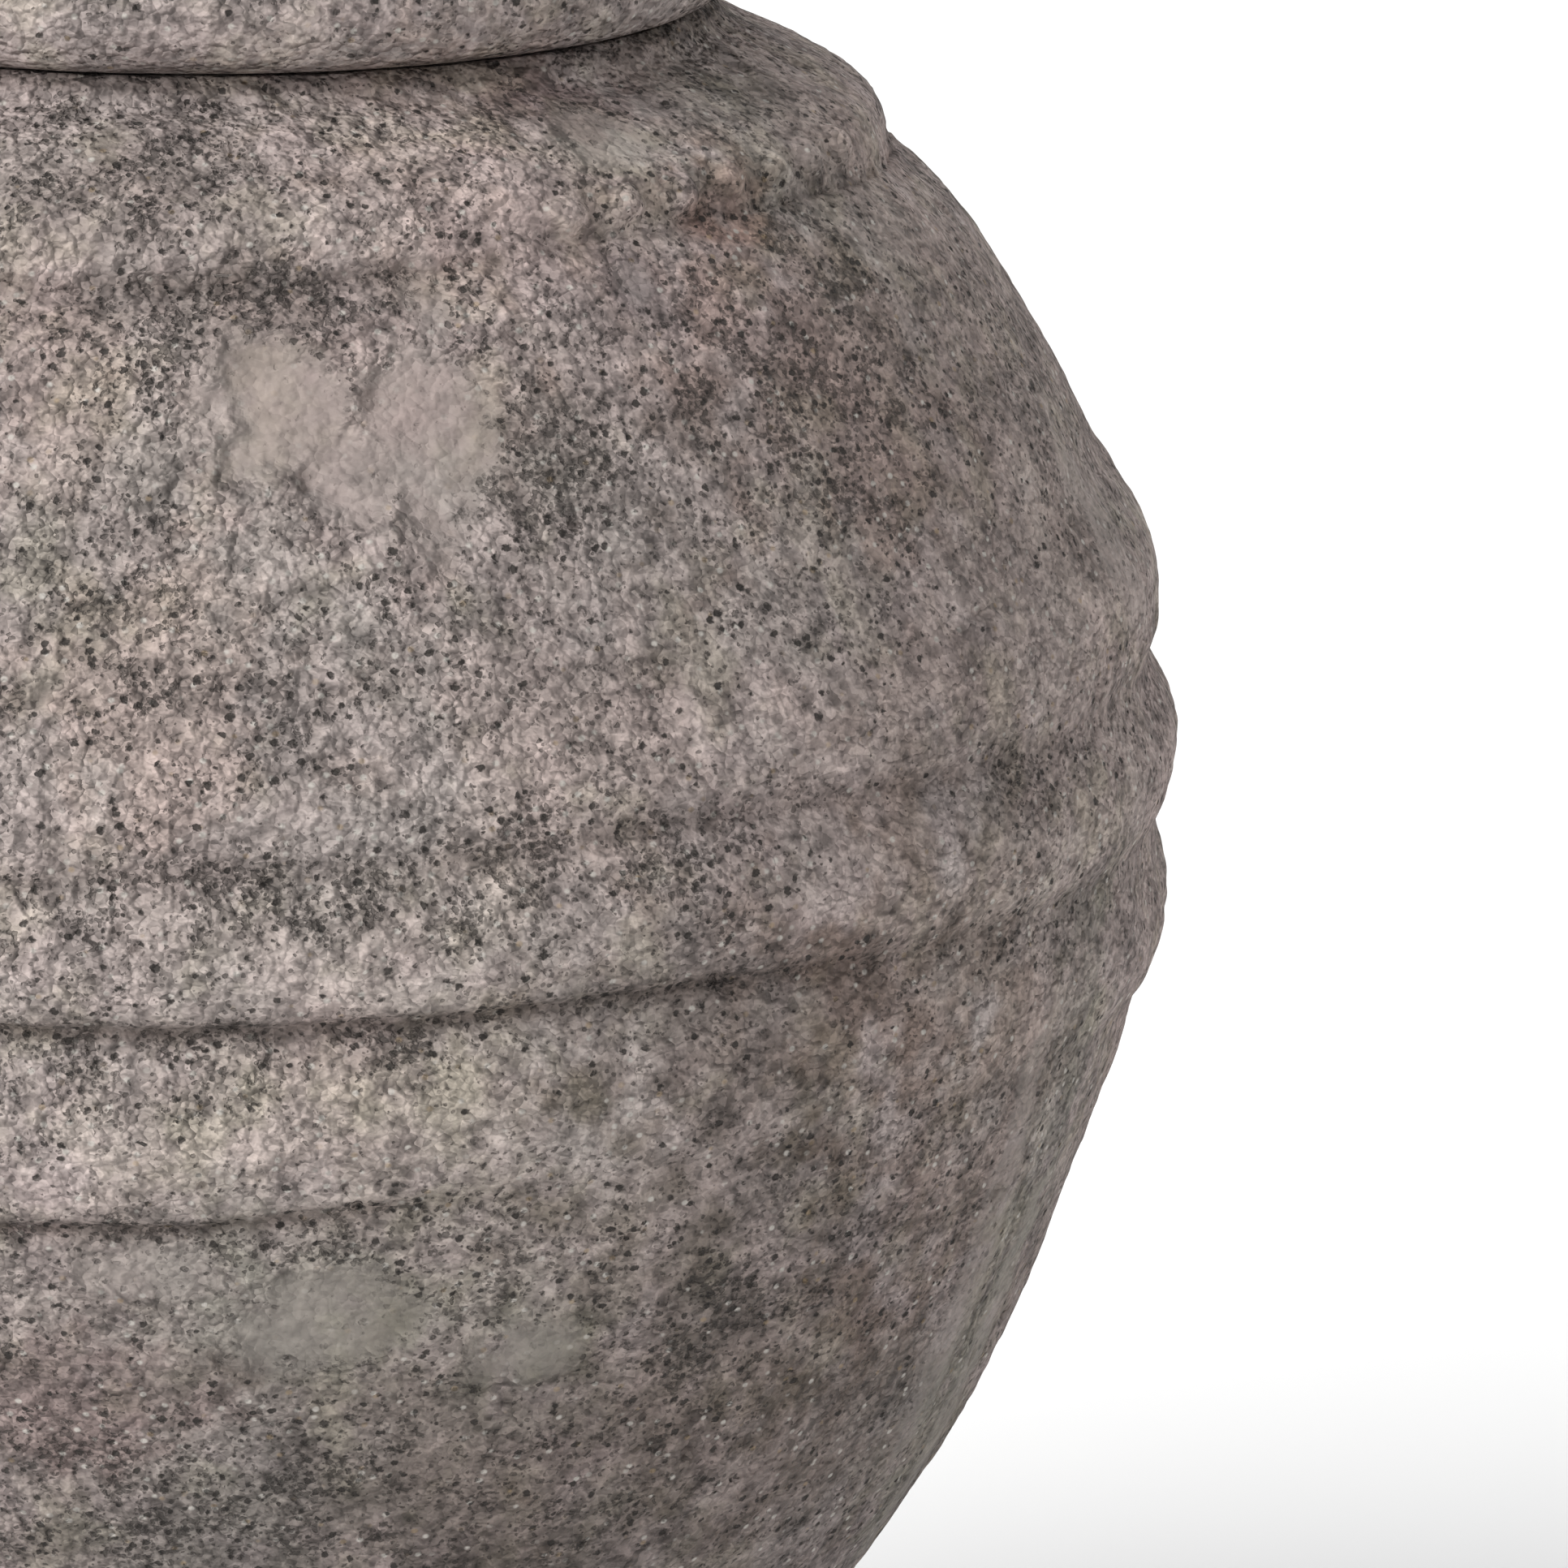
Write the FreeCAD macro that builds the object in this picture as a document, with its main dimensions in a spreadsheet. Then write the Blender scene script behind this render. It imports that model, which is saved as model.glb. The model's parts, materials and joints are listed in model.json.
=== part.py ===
import FreeCAD, Part
import math
import os
import re

import Sketcher

# A jar-bodied garden lantern of carved stone, in millimetres, +Z up, standing on z = 0 with its
# axis on the Z axis. The windows face -Y (front) and +Y (back). Each piece is drawn from its own
# seat at z = 0 and then placed at its height, so a piece's heights are its own.

DIMENSIONS = {
    # foot stone
    "foot_radius": 150, "foot_height": 58, "foot_side": 30, "foot_top_radius": 106,
    "foot_cove_radius": 46, "foot_edge": 4, "socket_radius": 92, "socket_depth": 14,
    # mortar beds
    "foot_bed_thickness": 4, "shoulder_bed_thickness": 3, "shoulder_bed_inset": 4,
    # dowel between foot and belly
    "dowel_radius": 10, "dowel_length": 70, "dowel_clearance": 0.3,
    # belly stone, outside
    "belly_height": 356, "base_radius": 84, "knee_radius": 156,
    "knee_height": 86, "bowl_bend": 160, "hip_radius": 192, "hip_height": 178, "flank_bend": 489,
    "neck_radius": 141, "upper_bend": 208,
    # the three raised bands, one above another, with a narrow groove between each two
    "low_groove_radius": 195.8, "low_groove_height": 213, "groove_width": 4, "low_band_bend": 34,
    "mid_band_bend": 31, "high_groove_radius": 195.2, "high_groove_height": 249,
    "high_band_bend": 26, "waist_radius": 190.5, "waist_height": 280,
    # lamp chamber and windows in the belly stone
    "chamber_radius": 120, "chamber_floor": 214, "window_width": 104, "jamb_height": 52,
    # shoulder stone
    "shoulder_height": 30, "shoulder_radius": 138.5, "shoulder_side": 3, "shoulder_roll_radius": 131,
    "shoulder_roll_height": 12.5, "shoulder_roll_bend": 12, "shoulder_top_radius": 100,
    "shoulder_slope_bend": 90, "mouth_radius": 84,
    # cap stone
    "seat_gap": 0.3, "cap_radius": 112, "cap_edge": 28, "cap_height": 54, "cap_step_radius": 88,
    "cap_top_radius": 40, "cap_cove_bend": 70, "spigot_radius": 82, "spigot_depth": 12,
    # finial ring and finial
    "collar_face_radius": 33, "collar_height": 14, "collar_bend": 7.6, "tenon_radius": 9,
    "tenon_length": 30, "tenon_clearance": 0.3, "finial_stem_radius": 17, "finial_stem_height": 6,
    "finial_radius": 29, "finial_belly_height": 28, "finial_height": 70, "finial_lower_bend": 26,
    "finial_upper_bend": 34, "finial_tip_radius": 2, "finial_neck_radius": 10,
    "finial_neck_height": 58, "finial_tip_bend": 24,
    # lamp: candle dish with finger loop, candle cup, candle, wick and glass chimney
    "lamp_gap": 0.3, "dish_radius": 46, "dish_height": 14, "dish_wall": 3, "dish_edge": 1.2,
    "dish_lip_bend": 1.8, "gallery_radius": 31, "gallery_wall": 2, "gallery_height": 4,
    "loop_radius": 11.5, "loop_wire": 2.5, "loop_gap": 0.4, "loop_centre": 15,
    "lug_width": 17, "lug_height": 11, "lug_thickness": 3, "rivet_height": 7.5,
    "rivet_radius": 1.3, "rivet_head": 2.3, "rivet_head_gap": 0.2, "rivet_spacing": 10,
    "rivet_head_thickness": 1,
    "cup_radius": 14, "cup_height": 18, "cup_floor": 2, "cup_edge": 0.8, "candle_radius": 11,
    "candle_height": 56, "candle_edge": 2.5, "wick_radius": 0.9, "wick_length": 15,
    "wick_depth": 7, "chimney_foot_radius": 28, "chimney_belly_radius": 32,
    "chimney_top_radius": 25, "chimney_height": 86, "chimney_foot_height": 8,
    "chimney_belly_height": 34, "chimney_glass": 2, "chimney_gap": 0.3,
    "chimney_swell_bend": 90, "chimney_taper_bend": 150,
}

# Heights of the seats above the ground, each worked out from the pieces below it.
SEAT = {}
SEAT["foot_bed"] = "foot_height - socket_depth"
SEAT["belly"] = SEAT["foot_bed"] + " + foot_bed_thickness"
SEAT["chamber"] = SEAT["belly"] + " + chamber_floor"
SEAT["shoulder_bed"] = SEAT["belly"] + " + belly_height"
SEAT["shoulder"] = SEAT["shoulder_bed"] + " + shoulder_bed_thickness"
SEAT["cap"] = SEAT["shoulder"] + " + shoulder_height + seat_gap"
SEAT["collar"] = SEAT["cap"] + " + cap_height"
SEAT["finial"] = SEAT["collar"] + " + collar_height + seat_gap"
SEAT["lamp"] = SEAT["chamber"] + " + lamp_gap"
SEAT["on_dish"] = SEAT["lamp"] + " + dish_wall"
SEAT["candle"] = SEAT["on_dish"] + " + cup_floor"
SEAT["wick"] = SEAT["candle"] + " + candle_height - wick_depth"
SEAT["chimney"] = SEAT["on_dish"] + " + chimney_gap"

# The dowel stands half in the foot stone and half in the belly stone, across the mortar.
DOWEL_HOLE_DEPTH = "dowel_length / 2 - foot_bed_thickness / 2"

document = FreeCAD.newDocument("stone_lantern")
sheet = document.addObject("Spreadsheet::Sheet", "Dims")
for row, (alias, size) in enumerate(DIMENSIONS.items(), start=1):
    sheet.set(f"A{row}", alias)
    sheet.set(f"B{row}", str(size))
    sheet.setAlias(f"B{row}", alias)
document.recompute()

sub_parts = []


def dims(expression):
    """Put the sheet's name before each alias in an expression."""
    return re.sub(r"[a-z_]+", lambda word: "Dims." + word.group() if word.group() in DIMENSIONS
                  else word.group(), expression)


def bind(thing, **expressions):
    """Bind an object's sizes to the sheet."""
    for name, expression in expressions.items():
        thing.setExpression(name, dims(expression))


def finish_sub_part(thing, label, height=None):
    """Name a sub-part and place it at the height of its seat."""
    thing.Label = label
    if height is not None:
        thing.setExpression("Placement.Base.z", dims(height))
    sub_parts.append(thing)


def origin_plane(body, role):
    return next(plane for plane in body.Origin.OriginFeatures if plane.Role == role)


def new_sketch(body, name, role="XZ_Plane"):
    sketch = body.newObject("Sketcher::SketchObject", name)
    sketch.AttachmentSupport = [(origin_plane(body, role), "")]
    sketch.MapMode = "FlatFace"
    return sketch


def pin(sketch, edge, end, corner, place):
    """Hold one end of an edge at a corner given as two expressions."""
    for direction, expression, size in zip("XY", corner, place):
        if abs(size) < 1e-9:
            axis = -2 if direction == "X" else -1
            sketch.addConstraint(Sketcher.Constraint("PointOnObject", edge, end, axis))
        elif size > 0:
            held = sketch.addConstraint(
                Sketcher.Constraint("Distance" + direction, -1, 1, edge, end, size))
            sketch.setExpression(f"Constraints[{held}]", dims(expression))
        else:
            held = sketch.addConstraint(
                Sketcher.Constraint("Distance" + direction, edge, end, -1, 1, -size))
            sketch.setExpression(f"Constraints[{held}]", dims(f"-({expression})"))


def outline(sketch, corners, bends=None):
    """Draw a closed outline through corners, each a pair of expressions.

    bends maps the number of a corner to (radius, turn) of the arc that leaves it: turn is "left" or
    "right", the way the arc curves. The other sides are straight.
    """
    bends = bends or {}
    places = [tuple(float(sketch.evalExpression(dims(size))) for size in corner) for corner in corners]
    points = [FreeCAD.Vector(x, y, 0) for x, y in places]
    joins = []
    for number, start in enumerate(points):
        end = points[(number + 1) % len(points)]
        if number not in bends:
            edge = sketch.addGeometry(Part.LineSegment(start, end), False)
            joins.append((edge, 1, 2))
            continue
        radius, turn = bends[number]
        size = float(sketch.evalExpression(dims(radius)))
        half_chord = (end - start) * 0.5
        left = FreeCAD.Vector(-half_chord.y, half_chord.x, 0).normalize()
        toward_centre = left if turn == "left" else -left
        reach = math.sqrt(size ** 2 - half_chord.Length ** 2)
        centre = start + half_chord + toward_centre * reach
        middle = centre - toward_centre * size
        edge = sketch.addGeometry(Part.Arc(start, middle, end), False)
        held = sketch.addConstraint(Sketcher.Constraint("Radius", edge, size))
        sketch.setExpression(f"Constraints[{held}]", dims(radius))
        # a sketch arc runs anticlockwise, so a right-hand bend starts at its far end
        joins.append((edge, 1, 2) if turn == "left" else (edge, 2, 1))
    for number, (edge, start, _) in enumerate(joins):
        last_edge, _, last_end = joins[number - 1]
        sketch.addConstraint(Sketcher.Constraint("Coincident", last_edge, last_end, edge, start))
    for (edge, start, _), corner, place in zip(joins, corners, places):
        pin(sketch, edge, start, corner, place)
    return sketch


def turned(body, name, corners, bends=None):
    """Add the solid of revolution of an outline about the vertical axis."""
    sketch = outline(new_sketch(body, name + "_outline"), corners, bends)
    feature = body.newObject("PartDesign::Revolution", name)
    feature.Profile = sketch
    feature.ReferenceAxis = (sketch, ["V_Axis"])
    feature.Angle = 360
    document.recompute()


def new_body(name):
    return document.addObject("PartDesign::Body", name)


def bored(body, name, radius, bottom, top):
    """Cut a round hole on the axis between two heights."""
    before = body.Shape.Volume
    sketch = outline(new_sketch(body, name + "_outline"),
                     [("0", bottom), (radius, bottom), (radius, top), ("0", top)])
    groove = body.newObject("PartDesign::Groove", name)
    groove.Profile = sketch
    groove.ReferenceAxis = (sketch, ["V_Axis"])
    groove.Angle = 360
    document.recompute()
    size, low, high = (float(sketch.evalExpression(dims(text))) for text in (radius, bottom, top))
    removed = before - body.Shape.Volume
    expected = math.pi * size ** 2 * (high - low)
    if abs(removed - expected) > 0.01 * expected:
        raise RuntimeError(f"{name} removed {removed:.0f} mm3, not {expected:.0f}")


def make_foot_stone():
    """Round plinth: upright side, coved shoulder, and a socket for the belly stone."""
    body = new_body("FootStone")
    turned(body, "plinth", [
        ("0", "0"),
        ("foot_radius - foot_edge", "0"),
        ("foot_radius", "foot_edge"),
        ("foot_radius", "foot_side"),
        ("foot_top_radius", "foot_height"),
        ("socket_radius", "foot_height"),
        ("socket_radius", "foot_height - socket_depth"),
        ("0", "foot_height - socket_depth"),
    ], {1: ("foot_edge", "left"), 3: ("foot_cove_radius", "right")})
    bored(body, "dowel_hole", "dowel_radius + dowel_clearance",
          f"foot_height - socket_depth - ({DOWEL_HOLE_DEPTH})", "foot_height - socket_depth")
    finish_sub_part(body, "foot_stone")


def make_foot_bed():
    """Mortar under and around the belly stone's base, filling the socket to its brim."""
    body = new_body("FootBed")
    turned(body, "mortar", [
        ("dowel_radius + dowel_clearance", "0"),
        ("socket_radius", "0"),
        ("socket_radius", "socket_depth"),
        ("base_radius", "socket_depth"),
        ("base_radius", "foot_bed_thickness"),
        ("dowel_radius + dowel_clearance", "foot_bed_thickness"),
    ])
    finish_sub_part(body, "foot_bed", SEAT["foot_bed"])


def make_foot_dowel():
    dowel = document.addObject("Part::Cylinder", "FootDowel")
    bind(dowel, Radius="dowel_radius", Height="dowel_length")
    finish_sub_part(dowel, "foot_dowel", SEAT["belly"] + " - foot_bed_thickness / 2 - dowel_length / 2")


def make_belly_stone():
    """Jar body: bowl-shaped lower half, three bands, lamp chamber open at the top, two windows.

    Its base is a short upright spigot as deep as the socket above the mortar.
    """
    body = new_body("BellyStone")
    turned(body, "jar", [
        ("0", "0"),
        ("base_radius", "0"),
        ("base_radius", "socket_depth - foot_bed_thickness"),
        ("knee_radius", "knee_height"),
        ("hip_radius", "hip_height"),
        ("low_groove_radius", "low_groove_height - groove_width / 2"),
        ("low_groove_radius", "low_groove_height + groove_width / 2"),
        ("high_groove_radius", "high_groove_height - groove_width / 2"),
        ("high_groove_radius", "high_groove_height + groove_width / 2"),
        ("waist_radius", "waist_height"),
        ("neck_radius", "belly_height"),
        ("chamber_radius", "belly_height"),
        ("chamber_radius", "chamber_floor"),
        ("0", "chamber_floor"),
    ], {2: ("bowl_bend", "left"), 3: ("flank_bend", "left"), 4: ("low_band_bend", "left"),
        6: ("mid_band_bend", "left"), 8: ("high_band_bend", "left"), 9: ("upper_bend", "left")})
    before = body.Shape.Volume
    sketch = outline(new_sketch(body, "window_outline"), [
        ("-window_width / 2", "chamber_floor"),
        ("window_width / 2", "chamber_floor"),
        ("window_width / 2", "chamber_floor + jamb_height"),
        ("0", "chamber_floor + jamb_height + window_width / 2"),
        ("-window_width / 2", "chamber_floor + jamb_height"),
    ], {2: ("window_width / 2", "left"), 3: ("window_width / 2", "left")})
    windows = body.newObject("PartDesign::Pocket", "windows")
    windows.Profile = sketch
    windows.SideType = "Symmetric"
    bind(windows, Length="3 * hip_radius")
    document.recompute()
    if body.Shape.Volume > 0.98 * before:
        raise RuntimeError("the windows cut too little")
    bored(body, "dowel_hole", "dowel_radius + dowel_clearance", "0", DOWEL_HOLE_DEPTH)
    finish_sub_part(body, "belly_stone", SEAT["belly"])


def make_shoulder_bed():
    body = new_body("ShoulderBed")
    turned(body, "mortar", [
        ("chamber_radius", "0"),
        ("shoulder_radius - shoulder_bed_inset", "0"),
        ("shoulder_radius - shoulder_bed_inset", "shoulder_bed_thickness"),
        ("chamber_radius", "shoulder_bed_thickness"),
    ])
    finish_sub_part(body, "shoulder_bed", SEAT["shoulder_bed"])


def make_shoulder_stone():
    """Collar with a rolled outer edge and a sloping top; its hole is the lantern's mouth."""
    body = new_body("ShoulderStone")
    turned(body, "collar", [
        ("mouth_radius", "0"),
        ("shoulder_radius", "0"),
        ("shoulder_radius", "shoulder_side"),
        ("shoulder_roll_radius", "shoulder_roll_height"),
        ("shoulder_top_radius", "shoulder_height"),
        ("mouth_radius", "shoulder_height"),
    ], {2: ("shoulder_roll_bend", "left"), 3: ("shoulder_slope_bend", "left")})
    finish_sub_part(body, "shoulder_stone", SEAT["shoulder"])


def make_cap_stone():
    """Lid: a spigot that hangs in the mouth, a round-nosed edge and a coved top."""
    body = new_body("CapStone")
    nose = "cap_radius - cap_edge / 2"
    turned(body, "lid", [
        ("0", "-spigot_depth"),
        ("spigot_radius", "-spigot_depth"),
        ("spigot_radius", "0"),
        (nose, "0"),
        ("cap_radius", "cap_edge / 2"),
        (nose, "cap_edge"),
        ("cap_step_radius", "cap_edge"),
        ("cap_top_radius", "cap_height"),
        ("0", "cap_height"),
    ], {3: ("cap_edge / 2", "left"), 4: ("cap_edge / 2", "left"), 6: ("cap_cove_bend", "right")})
    bored(body, "mortise", "tenon_radius + tenon_clearance",
          "cap_height + collar_height - tenon_length - tenon_clearance", "cap_height")
    finish_sub_part(body, "cap_stone", SEAT["cap"])


def make_finial_ring():
    """Round-edged collar between cap and finial, bored for the finial's tenon."""
    body = new_body("FinialRing")
    inner = "tenon_radius + tenon_clearance"
    turned(body, "collar", [
        (inner, "0"),
        ("collar_face_radius", "0"),
        ("collar_face_radius", "collar_height"),
        (inner, "collar_height"),
    ], {1: ("collar_bend", "left")})
    finish_sub_part(body, "finial_ring", SEAT["collar"])


def make_finial():
    """Jewel-shaped knob that swells above a short stem and rises to a small tip."""
    body = new_body("Finial")
    turned(body, "jewel", [
        ("0", "-tenon_length"),
        ("tenon_radius", "-tenon_length"),
        ("tenon_radius", "0"),
        ("finial_stem_radius", "0"),
        ("finial_stem_radius", "finial_stem_height"),
        ("finial_radius", "finial_belly_height"),
        ("finial_neck_radius", "finial_neck_height"),
        ("finial_tip_radius", "finial_height"),
        ("0", "finial_height"),
    ], {4: ("finial_lower_bend", "left"), 5: ("finial_upper_bend", "left"),
        6: ("finial_tip_bend", "right")})
    finish_sub_part(body, "finial", SEAT["finial"])


def rivet_line(name, side, radius, start, length):
    """A cylinder on the line of one rivet: side is -1 or 1, and it runs from start towards -Y."""
    cylinder = document.addObject("Part::Cylinder", name)
    cylinder.Placement.Rotation = FreeCAD.Rotation(FreeCAD.Vector(1, 0, 0), 90)
    bind(cylinder, Radius=radius, Height=length)
    cylinder.setExpression("Placement.Base.x", dims(f"{side} * rivet_spacing / 2"))
    cylinder.setExpression("Placement.Base.y", dims(start))
    cylinder.setExpression("Placement.Base.z", dims("rivet_height"))
    return cylinder


def rivet_holes(name, spot_faced):
    """Both rivet holes as one tool; spot-faced ones also have a flat seat inside the dish wall."""
    cutters = []
    for word, side in (("Left", -1), ("Right", 1)):
        cutters.append(rivet_line(f"{name}Hole{word}", side, "rivet_radius",
                                  "-dish_radius + dish_wall", "dish_wall + lug_thickness"))
        if spot_faced:
            cutters.append(rivet_line(f"{name}Seat{word}", side, "rivet_head + rivet_head_gap",
                                      "-dish_radius + 2 * dish_wall", "dish_wall"))
    tool = document.addObject("Part::MultiFuse", name)
    tool.Shapes = cutters
    return tool


def make_lamp_dish():
    """Cast-iron saucer with an upright wall."""
    body = new_body("LampDishCasting")
    turned(body, "saucer", [
        ("0", "0"),
        ("dish_radius - dish_edge", "0"),
        ("dish_radius", "dish_edge"),
        ("dish_radius", "dish_height"),
        ("dish_radius - dish_wall", "dish_height"),
        ("dish_radius - dish_wall", "dish_wall"),
        ("0", "dish_wall"),
    ], {1: ("dish_edge", "left"), 3: ("dish_lip_bend", "left")})
    drilled = document.addObject("Part::Cut", "LampDish")
    drilled.Base = body
    drilled.Tool = rivet_holes("DishDrills", spot_faced=True)
    finish_sub_part(drilled, "lamp_dish", SEAT["lamp"])


def make_gallery_ring():
    """Low ring brazed to the dish's floor, which centres the chimney."""
    body = new_body("GalleryRing")
    turned(body, "ring", [
        ("gallery_radius - gallery_wall", "0"),
        ("gallery_radius", "0"),
        ("gallery_radius", "gallery_height"),
        ("gallery_radius - gallery_wall", "gallery_height"),
    ])
    finish_sub_part(body, "gallery_ring", SEAT["on_dish"])


def make_dish_handle():
    """Finger loop, a ring of round iron welded to a flat lug against the dish wall."""
    loop = document.addObject("Part::Torus", "Loop")
    loop.Placement.Rotation = FreeCAD.Rotation(FreeCAD.Vector(0, 1, 0), 90)
    bind(loop, Radius1="loop_radius", Radius2="loop_wire")
    loop.setExpression("Placement.Base.y", dims("-dish_radius - loop_gap - loop_wire - loop_radius"))
    loop.setExpression("Placement.Base.z", dims("loop_centre"))
    lug = document.addObject("Part::Box", "Lug")
    bind(lug, Length="lug_width", Width="lug_thickness", Height="lug_height")
    lug.setExpression("Placement.Base.x", dims("-lug_width / 2"))
    lug.setExpression("Placement.Base.y", dims("-dish_radius - lug_thickness"))
    lug.setExpression("Placement.Base.z", dims("rivet_height - lug_height / 2"))
    blank = document.addObject("Part::MultiFuse", "LoopAndLug")
    blank.Shapes = [loop, lug]
    handle = document.addObject("Part::Cut", "DishHandle")
    handle.Base = blank
    handle.Tool = rivet_holes("LugDrills", spot_faced=False)
    finish_sub_part(handle, "dish_handle", SEAT["lamp"])


def make_rivet(name, side):
    """Shank through lug and wall with a flat head at each end."""
    inner_seat = "-dish_radius + dish_wall"
    outer_seat = "-dish_radius - lug_thickness"
    rivet = document.addObject("Part::MultiFuse", name)
    rivet.Shapes = [
        rivet_line(name + "Shank", side, "rivet_radius", inner_seat, "dish_wall + lug_thickness"),
        rivet_line(name + "InnerHead", side, "rivet_head", inner_seat + " + rivet_head_thickness",
                   "rivet_head_thickness"),
        rivet_line(name + "OuterHead", side, "rivet_head", outer_seat, "rivet_head_thickness"),
    ]
    return rivet


def make_handle_rivets():
    rivets = document.addObject("Part::Compound", "HandleRivets")
    rivets.Links = [make_rivet("RivetLeft", -1), make_rivet("RivetRight", 1)]
    finish_sub_part(rivets, "handle_rivets", SEAT["lamp"])


def make_candle_cup():
    body = new_body("CandleCup")
    turned(body, "cup", [
        ("0", "0"),
        ("cup_radius", "0"),
        ("cup_radius", "cup_height - cup_edge"),
        ("cup_radius - cup_edge", "cup_height"),
        ("candle_radius", "cup_height"),
        ("candle_radius", "cup_floor"),
        ("0", "cup_floor"),
    ], {2: ("cup_edge", "left")})
    finish_sub_part(body, "candle_cup", SEAT["on_dish"])


def make_candle():
    body = new_body("Candle")
    turned(body, "wax", [
        ("0", "0"),
        ("candle_radius", "0"),
        ("candle_radius", "candle_height - candle_edge"),
        ("candle_radius - candle_edge", "candle_height"),
        ("wick_radius", "candle_height"),
        ("wick_radius", "candle_height - wick_depth"),
        ("0", "candle_height - wick_depth"),
    ], {2: ("candle_edge", "left")})
    finish_sub_part(body, "candle", SEAT["candle"])


def make_wick():
    wick = document.addObject("Part::Cylinder", "Wick")
    bind(wick, Radius="wick_radius", Height="wick_length")
    finish_sub_part(wick, "wick", SEAT["wick"])


def make_chimney():
    """Glass wind guard: straight foot, full belly, drawn-in top, one wall thickness."""
    body = new_body("Chimney")
    heights = ["0", "chimney_foot_height", "chimney_belly_height", "chimney_height"]
    radii = ["chimney_foot_radius", "chimney_foot_radius", "chimney_belly_radius",
             "chimney_top_radius"]
    outside = list(zip(radii, heights))
    inside = [(radius + " - chimney_glass", height) for radius, height in reversed(outside)]
    # the swelling and the long taper are arcs, both walls bending alike
    turned(body, "glass", outside + inside, {
        1: ("chimney_swell_bend", "left"), 2: ("chimney_taper_bend", "left"),
        4: ("chimney_taper_bend", "right"), 5: ("chimney_swell_bend", "right")})
    finish_sub_part(body, "chimney", SEAT["chimney"])


make_foot_stone()
make_foot_bed()
make_foot_dowel()
make_belly_stone()
make_shoulder_bed()
make_shoulder_stone()
make_cap_stone()
make_finial_ring()
make_finial()
make_lamp_dish()
make_gallery_ring()
make_dish_handle()
make_handle_rivets()
make_candle_cup()
make_candle()
make_wick()
make_chimney()
document.recompute()

for thing in document.Objects:
    if "Invalid" in thing.State or "Error" in thing.State:
        raise RuntimeError(f"{thing.Name} ({thing.Label}) failed to build: {thing.State}")
for sub_part in sub_parts:
    if sub_part.Shape.isNull() or not sub_part.Shape.isValid() or not sub_part.Shape.Solids:
        raise RuntimeError(f"{sub_part.Label} has no valid solid")

os.makedirs("parts", exist_ok=True)
for sub_part in sub_parts:
    sub_part.Shape.exportStep(f"parts/{sub_part.Label}.step")
    box = sub_part.Shape.BoundBox
    print(f"{sub_part.Label:16s} {len(sub_part.Shape.Solids)} solid(s)  z {box.ZMin:7.2f} to {box.ZMax:7.2f}"
          f"  radius {box.XMax:6.2f}  volume {sub_part.Shape.Volume / 1000:9.1f} cm3")
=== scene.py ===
import json
import math
from types import SimpleNamespace

import bmesh
import bpy
import numpy as np
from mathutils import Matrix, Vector


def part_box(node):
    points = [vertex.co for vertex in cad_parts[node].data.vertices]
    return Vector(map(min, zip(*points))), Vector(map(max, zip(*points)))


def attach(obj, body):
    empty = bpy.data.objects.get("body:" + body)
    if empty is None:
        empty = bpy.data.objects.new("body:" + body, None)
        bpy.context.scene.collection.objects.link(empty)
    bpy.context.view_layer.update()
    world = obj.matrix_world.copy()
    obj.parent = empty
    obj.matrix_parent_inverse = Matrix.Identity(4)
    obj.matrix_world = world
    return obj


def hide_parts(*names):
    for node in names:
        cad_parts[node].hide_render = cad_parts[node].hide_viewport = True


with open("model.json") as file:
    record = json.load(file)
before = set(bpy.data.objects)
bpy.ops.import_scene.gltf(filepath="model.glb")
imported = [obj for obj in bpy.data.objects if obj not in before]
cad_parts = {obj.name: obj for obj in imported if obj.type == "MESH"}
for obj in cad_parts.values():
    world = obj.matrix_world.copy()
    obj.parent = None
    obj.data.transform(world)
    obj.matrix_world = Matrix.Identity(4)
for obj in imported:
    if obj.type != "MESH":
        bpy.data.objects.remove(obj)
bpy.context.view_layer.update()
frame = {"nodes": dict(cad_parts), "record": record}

MM = 0.001


def level(node, end):
    """Height in mm of the underside, end 0, or the top, end 1, of a CAD node."""
    return round(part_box(node)[end].z / MM, 1)


# Heights above the ground in mm, from the frame
FOOT_TOP = level("foot_stone", 1)
BELLY_LOW = level("belly_stone", 0)
BELLY_TOP = level("belly_stone", 1)
SHOULDER_TOP = level("shoulder_stone", 1)
SPIGOT_LOW = level("cap_stone", 0)
CAP_TOP = level("cap_stone", 1)
COLLAR_TOP = level("finial_ring", 1)
LANTERN_TOP = level("finial", 1)
DISH_LOW = level("lamp_dish", 0)
CANDLE_LOW = level("candle", 0)

SEAT_GAP = 0.3  # between stones that aren't mortared, and under the lamp
CAP_SEAT = SHOULDER_TOP + SEAT_GAP
FINIAL_SEAT = COLLAR_TOP + SEAT_GAP
CHAMBER_FLOOR = round(DISH_LOW - SEAT_GAP, 1)
AXIS_RADIUS = 0.02  # rows of points on the axis are this wide, so that their faces have an area


def detail(full, quick):
    return full


# ---------------------------------------------------------------- noise and small helpers


def smooth(low, high, value):
    """0 below low, 1 above high, with a soft turn between them."""
    t = np.clip((value - low) / (high - low), 0.0, 1.0)
    return t * t * (3.0 - 2.0 * t)


NOISE_SIDE = 32
noise_tables = {}


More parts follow.
